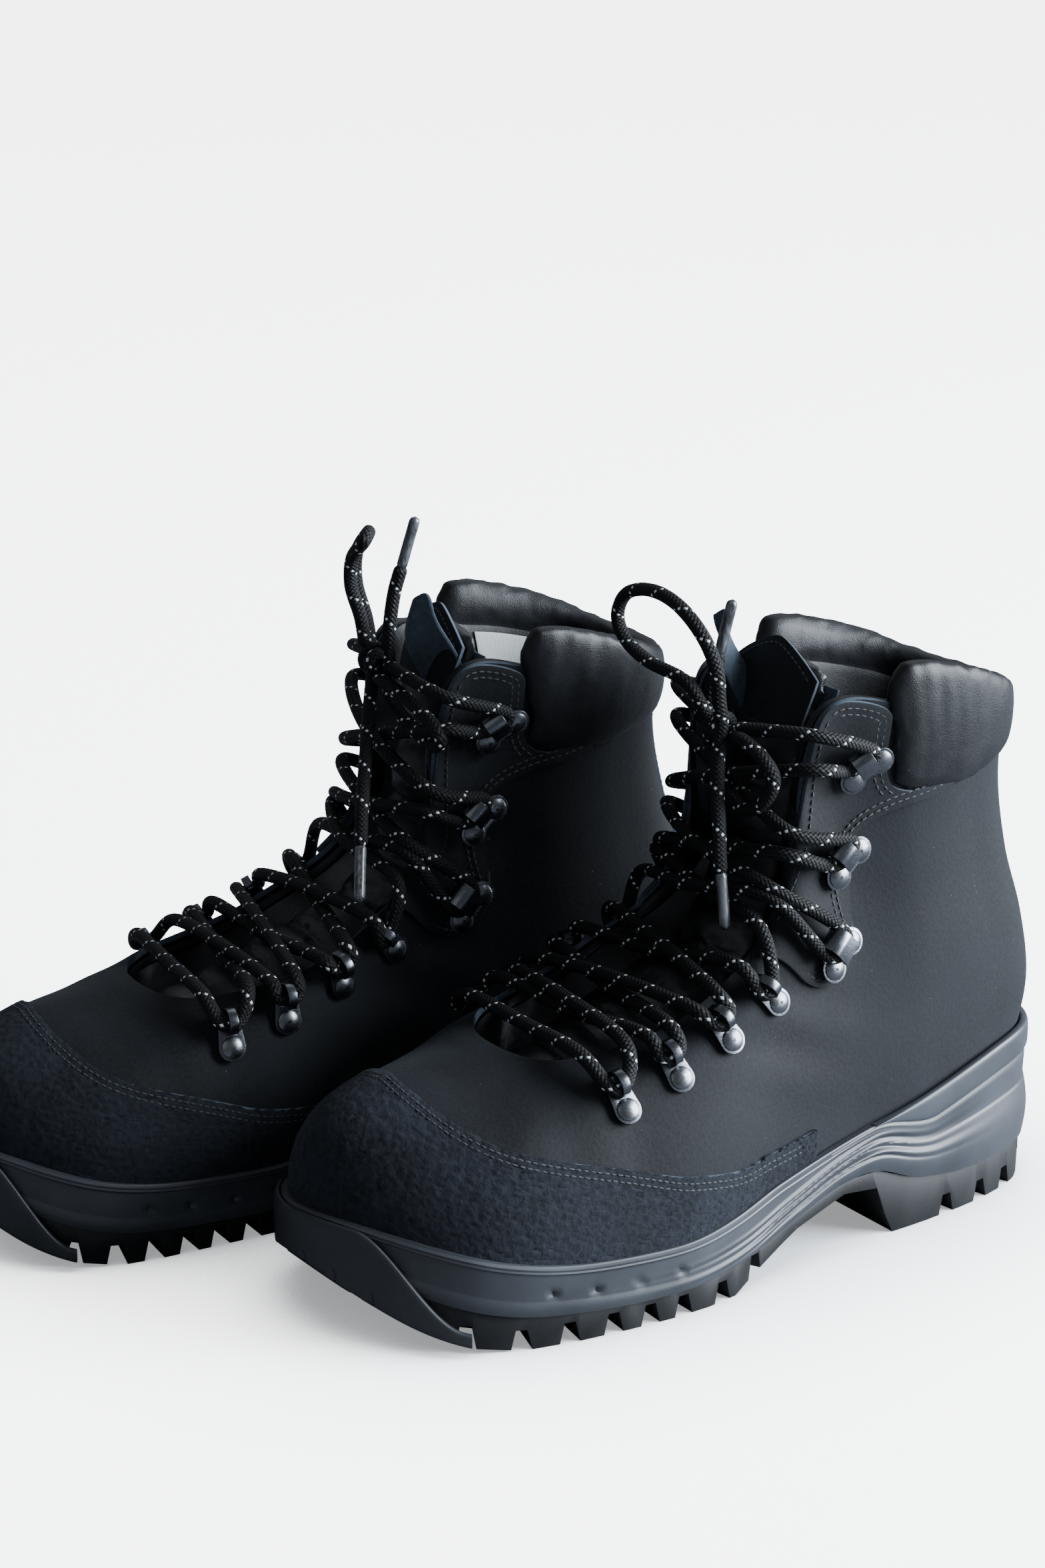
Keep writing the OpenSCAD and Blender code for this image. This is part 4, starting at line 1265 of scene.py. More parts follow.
@dataclass
class Upper(Part):
    """The upper's leather, its overlays and its seams.

    Attributes:
        leather: Thickness of the main leather, in millimetres.
        overlay: Thickness of the leather that carries the hooks.
        rand: Thickness of the rough rand.
    """

    leather: float = 2.0
    overlay: float = FACING_T
    rand: float = 1.6

    def folds(self, u: np.ndarray, v: np.ndarray) -> np.ndarray:
        """Gives how far the leather swells or dips at a place, in millimetres."""
        p = skin(u, v)
        ankle = bell(p[..., 1], 22, 26) * bell(p[..., 2], 92, 26)
        waves = (np.sin(p[..., 2] * 0.27 + p[..., 1] * 0.10) * 0.55
                 + np.sin(p[..., 2] * 0.13 - p[..., 1] * 0.06 + 1) * 0.5)
        vamp = bell(p[..., 1], -62, 26) * np.sin(p[..., 1] * 0.22 + p[..., 0] * 0.05) * 0.35
        heel = 0.3 * np.sin(p[..., 1] * 0.07 + p[..., 2] * 0.05)
        fade = rise(v, 0.0, 0.12) * (1 - rise(v, 0.9, 1.0))
        return fade * (ankle * waves + vamp + heel)

    @staticmethod
    def rim(u: np.ndarray) -> np.ndarray:
        """Gives how high the leather goes: to the opening's edge, but lower where the collar covers it."""
        return 0.94 + 0.06 * rise(outer_half(u), 0.255, 0.305)

    def make_shell(self) -> None:
        """Makes the main leather."""
        def spot(s: np.ndarray, t: np.ndarray) -> np.ndarray:
            """Places the face, with its folds."""
            v = t * self.rim(s)
            return layer(s, v, self.folds(s, v))

        shell = self.panel("upper", 288, 72, spot, (0.72, 0.15), self.left)
        weld(shell, 0.05)
        self.cut(shell, "upper", (NUBUCK, CUT_EDGE), self.leather, "nubuck", outward=False)

    def make_rand(self) -> None:
        """Makes the rough rand round the toe, with its raw top edge and two rows of stitches."""
        def spot(s: np.ndarray, t: np.ndarray) -> np.ndarray:
            """Places the rough face, level along its top edge."""
            u = 0.285 + 0.43 * s
            high = on_table(outer_half(u), RAND_TOP)
            rough = 0.16 * np.random.default_rng(5).normal(size=len(s)).clip(-1.5, 1.5)
            return layer(u, 0.03 + (high - 0.03) * t, 0.2 + rough * (t < 0.999))

        rand = self.panel("rand", 420, 60, spot, (0.42, 0.05), self.left)
        self.cut(rand, "rand", (ROUGH_SUEDE, CUT_EDGE), self.rand, "rand_leather", edge=0.45, angle=60)
        u = np.linspace(0.30, 0.70, 300)
        edge = np.stack([u, on_table(outer_half(u), RAND_TOP)], 1)
        rows = [offset_path(edge, 2.2), offset_path(edge, 4.4)]
        stitcher = Stitcher(self.side, pitch=2.6, length=2.1, width=0.7)
        thread = stitcher.sew(self.name("rand_stitches"), rows, self.rand + 0.2)
        self.hold(thread, "rand_leather")

    def make_facing(self, word: str, mirrored: bool) -> None:
        """Makes one of the two overlays that carry the hooks, with its stitches.

        Args:
            word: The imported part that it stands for.
            mirrored: Whether it is the one on the inner side.
        """
        low, high = smooth_route(FACING_LOW, 12), smooth_route(FACING_HIGH, 12)
        if mirrored:
            low, high = [np.stack([1 - p[:, 0], p[:, 1]], 1) for p in (low, high)]

        def spot(s: np.ndarray, t: np.ndarray) -> np.ndarray:
            """Places the face between the outline's two edges."""
            i = np.rint(s * (len(low) - 1)).astype(int)
            at = low[i] * (1 - t[:, None]) + high[i] * t[:, None]
            return layer(at[:, 0], at[:, 1], 0.25 + self.folds(at[:, 0], at[:, 1]))

        facing = self.panel(word, len(low) - 1, 40, spot, (0.16, 0.08), self.left != mirrored)
        weld(facing, 0.02)
        self.cut(facing, word, (FACING_NUBUCK, CUT_EDGE), self.overlay, "nubuck", angle=50)
        way = 1 if mirrored else -1
        tab = high[36:108]
        rows = [offset_path(low[6:-4], way * 2.4), offset_path(low[10:-6], way * 4.6),
                offset_path(tab, -way * 2.4), offset_path(tab[4:-4], -way * 4.8),
                offset_path(high[110:-4], -way * 2.6)]
        thread = Stitcher(self.side).sew(self.name(word + "_stitches"), rows, self.overlay + 0.35)
        self.hold(thread, "nubuck")

    @staticmethod
    def strip_half(t: np.ndarray) -> np.ndarray:
        """Gives half the width of the heel's strip, as a share of the way round, at heights from 0 to 1."""
        return 0.017 + 0.012 * (1 - rise(t, 0.0, 0.6)) + 0.004 * rise(t, 0.7, 1)

    def make_backstay(self) -> None:
        """Makes the strip up the back of the heel, with a row of stitches along each edge."""
        def spot(s: np.ndarray, t: np.ndarray) -> np.ndarray:
            """Places the strip's face."""
            return layer((2 * s - 1) * self.strip_half(t), 0.05 + 0.85 * t, 0.2)

        strip = self.panel("backstay", 14, 60, spot, (0.03, 0.12), self.left)
        self.cut(strip, "backstay", (FACING_NUBUCK, CUT_EDGE), 1.3, "nubuck")
        t = np.linspace(0.06, 0.97, 120)
        rows = [np.stack([way * (self.strip_half(t) - 0.0042), 0.05 + 0.85 * t], 1) for way in (-1, 1)]
        thread = Stitcher(self.side, pitch=2.7).sew(self.name("backstay_stitches"), rows, 1.65)
        self.hold(thread, "nubuck")

    def make_lining(self) -> None:
        """Makes the soft lining inside the shaft."""
        def spot(s: np.ndarray, t: np.ndarray) -> np.ndarray:
            """Places the face against the leather, with shallow quilting near the top."""
            v = 0.1 + (self.rim(s) - 0.105) * t
            return layer(s, v, 0.24 * np.sin(s * 90) * bell(v, 0.86, 0.1) - 3.4)

        lining = self.panel("lining", 240, 60, spot, (0.72, 0.15), self.left)
        weld(lining, 0.05)
        self.cut(lining, "lining", (LINING_LEATHER,), 2.8, "lining", edge=0.9, angle=50, outward=False)

    def make_label(self) -> None:
        """Makes the blank woven label inside the shaft."""
        def spot(s: np.ndarray, t: np.ndarray) -> np.ndarray:
            """Places the label on the lining of the outer wall."""
            return layer(0.105 + 0.08 * s, 0.80 + 0.125 * t, -6.6)

        label = self.panel("size_label", 20, 14, spot, (0.03, 0.02), not self.left)
        self.cut(label, "size_label", (LABEL_TAPE,), 0.4, "label", edge=0.1, angle=40)

    def dress_stiffeners(self) -> None:
        """Puts a finish on the stiffeners inside the toe and heel."""
        for word in ("toe_puff", "heel_counter"):
            dress(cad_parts[self.node(word)], STIFFENER)

    def build(self) -> None:
        """Makes all of the upper."""
        self.make_shell()
        self.make_rand()
        self.make_facing("facing_outer", False)
        self.make_facing("facing_inner", True)
        self.make_backstay()
        self.make_lining()
        self.make_label()
        self.dress_stiffeners()


PRESSURE = 4
STEPS = 20


def inflate(piece: bpy.types.Object, voxel: float, cap: float) -> None:
    """Fills a padded piece by a cloth simulation, and applies the result.

    Args:
        piece: A closed mesh.
        voxel: Size of the remesh, in millimetres.
        cap: The most that a point may move, in millimetres.
    """
    remesh = piece.modifiers.new("Remesh", "REMESH")
    remesh.mode = "VOXEL"
    remesh.voxel_size = voxel * MM
    apply_all(piece)
    start = points_of(piece)
    cloth = piece.modifiers.new("Cloth", "CLOTH")
    cloth.settings.use_pressure = True
    cloth.settings.uniform_pressure_force = PRESSURE
    cloth.settings.effector_weights.gravity = 0
    cloth.settings.quality = 5
    cloth.point_cache.frame_start = 1
    cloth.point_cache.frame_end = STEPS
    scene = bpy.context.scene
    for step in range(1, STEPS + 1):
        scene.frame_set(step)
    apply_all(piece)
    scene.frame_set(1)
    move = points_of(piece) - start
    length = np.linalg.norm(move, axis=1, keepdims=True)
    set_points(piece, start + move * np.minimum(1, cap * MM / np.maximum(length, 1e-9)))


@dataclass
class Padding(Part):
    """The padded collar and tongue, with the flaps beside the tongue.

    Attributes:
        collar: Greatest thickness of the collar outside the leather, in millimetres.
        collar_end: How far round the boot from the heel the collar ends.
        hump: Height of the tongue's pads between the laces.
    """

    collar: float = 4.4
    collar_end: float = 0.207
    hump: float = 2.3

    def make_collar(self) -> None:
        """Makes the padded roll round the top of the shaft."""
        def spot(s: np.ndarray, t: np.ndarray) -> np.ndarray:
            """Places the roll: s from one front end round the heel to the other, t once round its section."""
            u = self.collar_end * (2 * s - 1)
            from_end = 1 - np.abs(2 * s - 1)
            c, q = np.cos(2 * math.pi * t), np.sin(2 * math.pi * t)
            low = 0.80 + 0.085 * (1 - rise(np.abs(u), 0.02, 0.15))
            high = 0.994 - 0.03 * (1 - rise(from_end, 0, 0.06))
            v = (low + high) / 2 + (high - low) / 2 * power(c, 0.8)
            ends = 0.3 + 0.7 * np.sqrt(rise(from_end, 0, 0.06))
            thick = np.where(q > 0, self.collar, 2.2 + 5.4 * rise(c, 0.15, 0.75)) * power(q, 0.55)
            lift = 3.5 * rise(c, 0.3, 1) * rise(from_end, 0, 0.1)
            return layer(u, v, ends * thick - 1.2) + lift[:, None] * np.array([0, 0, 1])

        roll = self.panel("collar", 110, 48, spot)
        self.pad(roll, 2.6, 1.6)
        self.wrinkle_collar(roll)
        dress(roll, COLLAR_LEATHER)
        shade(roll, 80)
        self.hold(roll, "collar_leather", stands_for=["collar"])

    def wrinkle_collar(self, roll: bpy.types.Object) -> None:
        """Gathers the collar's leather into shallow wrinkles near its rim."""
        row, out = points_of(roll), directions_of(roll)
        p = from_row(row, self.side)
        around = np.arctan2(p[:, 0], p[:, 1] - 80)
        top = rise(p[:, 2], 172, 200)
        inner = self.inward(p, out) > 0
        dip = (0.5 * np.sin(around * 21 + 0.09 * p[:, 2]) + 0.35 * np.sin(around * 37 - 0.13 * p[:, 2] + 1.3)
               + 0.3 * np.sin(around * 9 + 0.2 * p[:, 2]))
        amount = (0.2 + 0.8 * top) * dip * np.where(inner, 0.05, 0.26)
        set_points(roll, row + out * amount[:, None] * MM)

    def inward(self, p: np.ndarray, out: np.ndarray) -> np.ndarray:
        """Tells how far faces turn towards the middle of the shaft, from directions in the row frame."""
        turn = SPLAY * self.side.value
        x = (math.cos(turn) * out[:, 0] + math.sin(turn) * out[:, 1]) * self.side.value
        y = -math.sin(turn) * out[:, 0] + math.cos(turn) * out[:, 1]
        return -(x * p[:, 0] + y * (p[:, 1] - 85))

    def tongue_spot(self, across: np.ndarray, along: np.ndarray, height: np.ndarray) -> np.ndarray:
        """Finds points off the tongue's outer face.

        Args:
            across: From -1 at the inner edge to 1 at the outer edge.
            along: From -0.1 at its hidden tip, through 0 at its foot, to 1 at its top.
            height: How high over the outer face, in millimetres.

        Returns:
            Points in the boot's frame.
        """
        line = smooth_route(TONGUE, 12)
        i = np.clip(1 + 10 * along, 0, 11) * 12
        k = np.minimum(i.astype(int), len(line) - 2)
        f = (i - k)[:, None]
        at = line[k] * (1 - f) + line[k + 1] * f
        step = unit(np.gradient(line[:, :2], axis=0))
        way = step[k] * (1 - f) + step[k + 1] * f
        lift = height - 4 * across ** 2
        return np.stack([TONGUE_X + across * at[:, 2], at[:, 0] - way[:, 1] * lift,
                         at[:, 1] + way[:, 0] * lift], 1)

    def make_tongue(self) -> None:
        """Makes the padded tongue, with a pad between each two crossings of the lace."""
        def spot(s: np.ndarray, t: np.ndarray) -> np.ndarray:
            """Places the tongue: s once round its section, t from its hidden tip to its top."""
            turn = 2 * math.pi * s
            height = -TONGUE_T / 2 + power(np.sin(turn), 0.6) * (TONGUE_T / 2 - 0.3)
            return self.tongue_spot(power(np.cos(turn), 0.75) * 0.97, 1.03 * t - 0.09, height)

        tongue = self.panel("tongue", 48, 120, spot)
        self.pad(tongue, 2.4, 0.9)
        self.shape_pads(tongue)
        dress(tongue, TONGUE_LEATHER)
        shade(tongue, 80)
        self.hold(tongue, "tongue_leather", "tongue", ["tongue"])

    def shape_pads(self, tongue: bpy.types.Object) -> None:
        """Raises the pads and draws in the seams between them."""
        row, out = points_of(tongue), directions_of(tongue)
        p = from_row(row, self.side)
        line = smooth_route(TONGUE, 12)[:, :2]
        gap = np.linalg.norm(p[:, None, 1:] - line[None], axis=2)
        run = np.concatenate([[0], np.cumsum(np.linalg.norm(np.diff(line, axis=0), axis=1))])
        at = (run - run[12])[gap.argmin(1)]
        middle = np.clip(1 - ((p[:, 0] - TONGUE_X) / 22) ** 2, 0, 1)
        dip = sum(bell(at, x, 2.2) for x in PAD_SEAMS)
        pads = np.interp(at, [-14, *PAD_SEAMS, 215], np.arange(len(PAD_SEAMS) + 2))
        swell = np.abs(np.sin(math.pi * pads))
        amount = middle * (self.hump * swell - 1.5 * dip) - 0.6 * (1 - middle) * dip
        set_points(tongue, row + out * amount[:, None] * MM)

    def make_patch(self) -> None:
        """Makes the peaked leather patch at the top of the tongue, with a row of stitches."""
        def peak(across: np.ndarray) -> np.ndarray:
            """Gives how far up the tongue the patch reaches."""
            return 0.985 - 0.085 * np.abs(across) ** 1.5

        def spot(s: np.ndarray, t: np.ndarray) -> np.ndarray:
            """Places the patch over the tongue's pads."""
            across = (2 * s - 1) * 0.97
            return self.tongue_spot(across, 0.80 + (peak(across) - 0.80) * t, 1.0)

        patch = self.panel("tongue_patch", 48, 40, spot, (0.045, 0.04), not self.left)
        self.cut(patch, "tongue_patch", (FACING_NUBUCK, CUT_EDGE), 1.6, "nubuck", "tongue")
        across = np.linspace(-0.86, 0.86, 90)
        line = self.tongue_spot(across, peak(across) - 0.022, 2.75)
        even = stations(line, 2.8)
        outs = np.tile(unit(np.array([0, -0.95, 0.3])), (len(even), 1))
        thread = Stitcher(self.side).lay(self.name("tongue_stitches"), [(even, outs)])
        self.hold(thread, "nubuck", "tongue")

    def make_flaps(self) -> None:
        """Makes the soft leather behind the tongue, with the flap that curls up on the inner side."""
        suede = (FLAP_SUEDE, CUT_EDGE)

        def spot(s: np.ndarray, t: np.ndarray) -> np.ndarray:
            """Places the backing under the tongue."""
            across = (2 * s - 1) * 1.08
            return self.tongue_spot(across, 0.04 + 0.86 * t, -TONGUE_T - 0.6 + 1.2 * np.abs(across) ** 3)

        gusset = self.panel("tongue_gusset", 40, 90, spot, (0.05, 0.2), self.left)
        self.cut(gusset, "tongue_gusset", suede, 1.1, "gusset", "tongue", 0.3, 50)

        def curl(s: np.ndarray, t: np.ndarray) -> np.ndarray:
            """Places the curled flap."""
            turn = 1.9 * s - 0.3
            width = 17 * (1 - 0.35 * t ** 2)
            x = -25 + width * np.sin(turn) * 0.62
            y = 47 - 9 * t - width * 0.55 * (1 - np.cos(turn)) + 2.5 * np.sin(5 * t + 2 * s)
            return np.stack([x, y, 186 + 34 * t + 3.5 * np.sin(3 * s)], 1)

        flap = self.panel("tongue_flap", 30, 36, curl, (0.03, 0.035), self.left)
        self.cut(flap, "", suede, 1.2, "gusset", "tongue", 0.3, 50)

    def make_bellows(self) -> None:
        """Makes the thin leather that closes the gap between the tongue and the opening's edge."""
        def spot(s: np.ndarray, t: np.ndarray) -> np.ndarray:
            """Places the leather: s along the opening's edge, t from the edge to under the tongue."""
            u = 0.272 + 0.456 * s
            edge = layer(u, 0.965, -6.6)
            far = np.abs(2 * s - 1)
            across = np.clip((0.5 - s) / 0.07, -1, 1) * 0.86
            along = -0.08 + 0.86 * np.clip((far - 0.14) / 0.86, 0, 1)
            tongue = self.tongue_spot(across, along, -TONGUE_T - 6.0 + 3.6 * rise(far, 0.25, 0.55))
            p = edge * (1 - t[:, None]) + tongue * t[:, None]
            p[:, 2] -= 2.5 * np.sin(math.pi * t)
            p[:, 1] -= 5 * (1 - rise(far, 0.2, 0.45)) * rise(t, 0, 0.5)
            return p

        bellows = self.panel("bellows", 120, 14, spot, (0.3, 0.02), not self.left)
        self.cut(bellows, "", (TONGUE_LEATHER, CUT_EDGE), 0.9, "gusset", edge=0, angle=60)

    def build(self) -> None:
        """Makes the collar, the tongue and its flaps."""
        self.make_collar()
        self.make_tongue()
        self.make_patch()
        self.make_flaps()
        self.make_bellows()


@dataclass
class Sole(Part):
    """The tread, the midsole, the heel cup, the toe bumper and the layers under the foot.

    Attributes:
        out: How far the midsole's wall stands out from the upper's edge, in millimetres.
    """

    out: float = 3.9

    def wall_out(self, y: np.ndarray, w: np.ndarray) -> np.ndarray:
        """Gives the midsole wall's relief.

        Args:
            y: Place along the boot.
            w: Height on the wall, from 0 at its foot to 1 at its top.

        Returns:
            How far the wall stands out or in at that place, in millimetres.
        """
        heel = rise(y, 20, 80)
        arch = bell(y, 35, 45)
        ledge = 0.30 + 0.34 * heel
        swell = -0.5 + 1.3 * np.sin(math.pi * np.clip(w / ledge, 0, 1)) * (0.35 + 0.65 * heel)
        relief = np.where(w < ledge, swell, -0.5 - 0.35 * heel + 0.5 * rise(w, ledge, 1) * heel)
        lines = sum(0.55 * bell(w, x, 0.028) for x in (0.86, 0.93)) * (1 - heel)
        flow = 0.0
        for k, (foot, top, depth) in enumerate(((0.18, 0.45, 0.9), (0.34, 0.62, 0.8), (0.5, 0.80, 0.7))):
            centre = foot + (top - foot) * rise(y, -25 + 8 * k, 75)
            flow = flow + depth * (bell(w, centre, 0.05) - 0.7 * bell(w, centre - 0.085, 0.035))
        slits = sum(bell(y + 5.5 * (w - 0.5), x, 0.9) for x in (-88, -72, -55, -38)) * bell(w, 0.45, 0.11)
        return relief + lines + flow * arch * 1.1 - 1.5 * slits

    @staticmethod
    def cup_height(u: np.ndarray) -> np.ndarray:
        """Gives the height of the cup round the heel, which tapers to nothing ahead of the ankle."""
        return 10.2 * rise(0.236 - outer_half(u), 0.0, 0.055)

    def make_midsole(self) -> None:
        """Makes the midsole with its ribbed and swept wall."""
        def spot(s: np.ndarray, t: np.ndarray) -> np.ndarray:
            """Places the wall: s once round the boot, t once round its section from its foot."""
            foot, out = skin(s, 0)[:, :2], flat_normal(s)
            y = foot[:, 1] + self.out * out[:, 1]
            low, high = on_table(y, OUTSOLE_TOP) + 0.1, on_table(y, MIDSOLE_TOP) - self.cup_height(s)
            w = np.clip((t - 0.10) / 0.62, 0, 1)
            z = low + (high - low) * w
            reach = self.out + self.wall_out(y, w) - 0.6 * bell(w, 1.0, 0.05)
            inner = rise(t, 0.72, 0.80)
            reach = reach * (1 - inner) + 0.4 * inner
            sunk = rise(t, 0.80, 0.90)
            z = z * (1 - sunk) + (low + 3) * sunk
            under = (1 - rise(t, 0.0, 0.10)) + rise(t, 0.90, 1.0)
            reach = reach * (1 - under) - 13 * under
            z = z * (1 - under) + (low + np.where(t > 0.5, 3, 0)) * under
            return np.c_[foot + out * reach[:, None], z]

        sole = self.panel("midsole", 640, 100, spot, (0.75, 0.1))
        weld(sole, 0.02)
        edit(sole, face_out)
        self.mould(sole, FOAM_RUBBER, 45, "midsole", "midsole")

    def make_heel_cup(self) -> None:
        """Makes the smooth stiff cup round the heel."""
        def spot(s: np.ndarray, t: np.ndarray) -> np.ndarray:
            """Places the cup: s from one end round the heel to the other, t once round its section."""
            u = 0.234 * (2 * s - 1)
            foot, out = skin(u, 0)[:, :2], flat_normal(u)
            y = foot[:, 1] + self.out * out[:, 1]
            high = on_table(y, MIDSOLE_TOP)
            low = high - self.cup_height(u) - 0.3
            turn = 2 * math.pi * t
            reach = 2.6 + (1.6 + 0.3 * bell(y, 150, 40)) * power(np.sin(turn), 0.6)
            z = (high + low) / 2 + (high - low) / 2 * power(np.cos(turn), 0.45)
            return np.c_[foot + out * reach[:, None], z + 0.2]

        cup = self.panel("heel_stabiliser", 220, 48, spot, (0.3, 0.03))
        close_up(cup)
        self.mould(cup, HEEL_PLASTIC, 50, "heel_cup", "heel_stabiliser")

    def make_bumper(self) -> None:
        """Makes the thick rubber round the toe, swept down to the tread, with slits in its foot."""
        def spot(s: np.ndarray, t: np.ndarray) -> np.ndarray:
            """Places the rubber: s from one side to the other, t once round its section."""
            u = 0.5 + 0.062 * (2 * s - 1)
            far = np.abs(u - 0.5)
            foot, out = skin(u, 0)[:, :2], flat_normal(u)
            y = foot[:, 1] + 5 * out[:, 1]
            low = on_table(y, TREAD) + 1.2
            high = np.maximum(on_table(y, MIDSOLE_TOP) - 1.0 - 26 * rise(far, 0.028, 0.060), low + 2.5)
            turn = 2 * math.pi * t
            c, q = power(np.cos(turn), 0.4), power(np.sin(turn), 0.5)
            w = (c + 1) / 2
            slit = sum(bell(far, x, 0.0007) for x in (0.009, 0.021, 0.033)) * (1 - rise(w, 0.16, 0.24))
            reach = 5.2 + 1.35 * q - (0.9 * slit + 0.35 * w) * (q > 0)
            z = (high + low) / 2 + (high - low) / 2 * c
            return np.c_[foot + out * reach[:, None], z]

        bumper = self.panel("toe_bumper", 420, 64, spot, (0.13, 0.05))
        close_up(bumper)
        self.mould(bumper, BUMPER_RUBBER, 50, "sole_rubber", "toe_bumper")

    def make_tread(self) -> None:
        """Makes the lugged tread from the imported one, with its corners rounded."""
        tread = softened(self.node("outsole"), self.name("outsole"), 0.55)
        dress(tread, TREAD_RUBBER)
        self.hold(tread, "sole_rubber")

    def make_footbed(self) -> None:
        """Makes the footbed with a rounded edge, and dresses the layers below it."""
        footbed = softened(self.node("footbed"), self.name("footbed"), 1.2, segments=3)
        dress(footbed, FOOTBED_KNIT)
        self.hold(footbed, "footbed", "footbed")
        dress(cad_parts[self.node("lasting_board")], BOARD)
        dress(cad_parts[self.node("shank")], STEEL)

    def build(self) -> None:
        """Makes all of the sole."""
        self.make_midsole()
        self.make_heel_cup()
        self.make_bumper()
        self.make_tread()
        self.make_footbed()


@dataclass
class Lacing(Part):
    """The lace, its knot and free ends, and the metal that it runs through.

    Attributes:
        lift: Half the distance between two strands where they cross, in millimetres.
        spacing: Distance between the rings of a lace's tube.
    """

    lift: float = 2.7
    spacing: float = 0.9

    @staticmethod
    def spot(place: Sequence[float], target: Sequence[float], side: int) -> tuple[np.ndarray, ...]:
        """Finds where a metal piece stands.

        Args:
            place: Its place on the outer half.
            target: The place that it points to.
            side: 1 for the outer side, -1 for the inner side.

        Returns:
            Its origin, and its x, y and z directions.
        """
        u, w = [p[0] if side > 0 else 1 - p[0] for p in (place, target)]
        z = skin_normal(np.array(u), np.array(place[1]))
        x = unit(np.cross(skin(w, target[1]) - skin(u, place[1]), z))
        return layer(u, place[1], -SEAT), x, np.cross(z, x), z

    def passing(self, place: Sequence[float], target: Sequence[float], side: int, reach: float, height: float,
                half: float) -> list[np.ndarray]:
        """Gives the two points between which the lace passes a loop or hook."""
        o, x, y, z = self.spot(place, target, side)
        return [o + reach * y + height * z + side * ahead * x for ahead in (-half, half)]

    def loop_pass(self, i: int, side: int) -> list[np.ndarray]:
        """Gives the lace's two points at a loop."""
        height = LOOP_RISE + LOOP_H - LACE_D / 2 - 0.4
        return self.passing(LOOPS[i], LOOP_TOPS[i], side, LOOP_REACH, height, LOOP_HALF)

    def hook_pass(self, i: int, side: int) -> list[np.ndarray]:
        """Gives the lace's two points at a hook."""
        return self.passing(HOOKS[i], HOOK_TOPS[i], side, HOOK_REACH, HOOK_RISE + HOOK_LACE_H, HOOK_HALF)

    @staticmethod
    def edge_point(u: float, side: int, height: float) -> np.ndarray:
        """Gives a point just before the opening's edge, so high over the leather."""
        return layer(u if side > 0 else 1 - u, 0.98, height) + np.array([0, -2.5, 0.5])

    def across(self, places: Sequence[float], side: int, height: float, push: np.ndarray) -> list[np.ndarray]:
        """Gives the lace's way over the tongue, from the edge on one side to the edge on the other."""
        a, b = self.edge_point(places[0], -side, height), self.edge_point(places[1], side, height)
        return [a, (a + b) / 2 + push, b]

    def climb(self, side: int, lift: float, knot: np.ndarray) -> list[np.ndarray]:
        """Gives one half of the lace's route, from its first loop up to the knot.

        Args:
            side: The side of its first loop.
            lift: How far its strands lie over the other half's, or under them.
            knot: Where it ends.

        Returns:
            The route's points.
        """
        route = []
        for i in range(4):
            s = side * (1 if i % 2 == 0 else -1)
            if i:
                route += self.across(CROSSINGS[i - 1], s, EDGE_H, lift * np.array([0, -0.4, 1]))
            route += self.loop_pass(i, s)
        for i in range(3):
            s = side * (1 if i % 2 == 0 else -1)
            push = (PUSH + lift) * np.array([0, -1, 0.2])
            route += self.across(CROSSINGS[3 + i], s, EDGE_H + FACING_T, push)
            route += self.hook_pass(i, s)
        return route + [self.edge_point(0.264, side, EDGE_H + FACING_T), knot]

    def add_lace(self, word: str, route: Sequence) -> tuple[bpy.types.Object, np.ndarray]:
        """Adds a stretch of lace along a route in the boot's frame.

        Args:
            word: The piece's word.
            route: The route's points.

        Returns:
            The lace, and the points that it follows in the row frame.
        """
        points = to_row(stations(smooth_route(route, 12), self.spacing), self.side)
        lace = add_tube(self.name(word), points, LACE_D * 1.04, LACE_D * 0.96)
        dress(lace, LACE)
        return lace, points

    def make_ends(self) -> None:
        """Makes the two free ends, each with its loop of the bow and its tip."""
        for word, routes, half in (("lace_end_a", END_A, 1), ("lace_end_b", END_B, 2)):
            route = routes[self.side]
            end, points = self.add_lace(word, route)
            tip = self.make_tip(f"aglet_{half}", route)
            if half == 1:
                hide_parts(self.node("aglets"))
            self.hold(end, "lace", stands_for=[word])

    def make_tip(self, word: str, route: Sequence) -> bpy.types.Object:
        """Makes the stiff tip at the end of a route."""
        line = smooth_route(route, 12)
        way = unit(line[-1] - line[-2])
        start = line[-1] - 1.5 * way
        points = to_row(start + np.linspace(0, AGLET + 1.2, 26)[:, None] * way, self.side)
        tip = add_tube(self.name(word), points, 4.1, 3.7, 20)
        dress(tip, TIP)
        self.hold(tip, "aglet")
        return tip

    def make_laced_part(self) -> None:
        """Makes the lace from the knot through all loops and hooks and back to the knot."""
        knot = np.array(KNOT[self.side])
        first = self.climb(1, self.lift, knot + [5, 2, 1])[::-1]
        bar = self.across([0.428, 0.428], -1, EDGE_H, np.zeros(3))
        lace, _ = self.add_lace("lace", first + bar + self.climb(-1, -self.lift, knot + [-5, 2, -1]))
        self.hold(lace, "lace", stands_for=["lace"])

    def make_knot(self) -> None:
        """Makes the knot: the lace wound round itself."""
        knot = np.array(KNOT[self.side])
        t = np.linspace(0, 1, 60)
        turn = 2 * math.pi * (1.9 * t + 0.15)
        radius = 3.6 - 0.5 * np.cos(2 * math.pi * t)
        line = knot + np.stack([-4.6 + 9.2 * t, radius * np.cos(turn), radius * np.sin(turn)], 1)
        wound, _ = self.add_lace("lace_knot", line)
        self.hold(wound, "lace", stands_for=["lace_knot"])

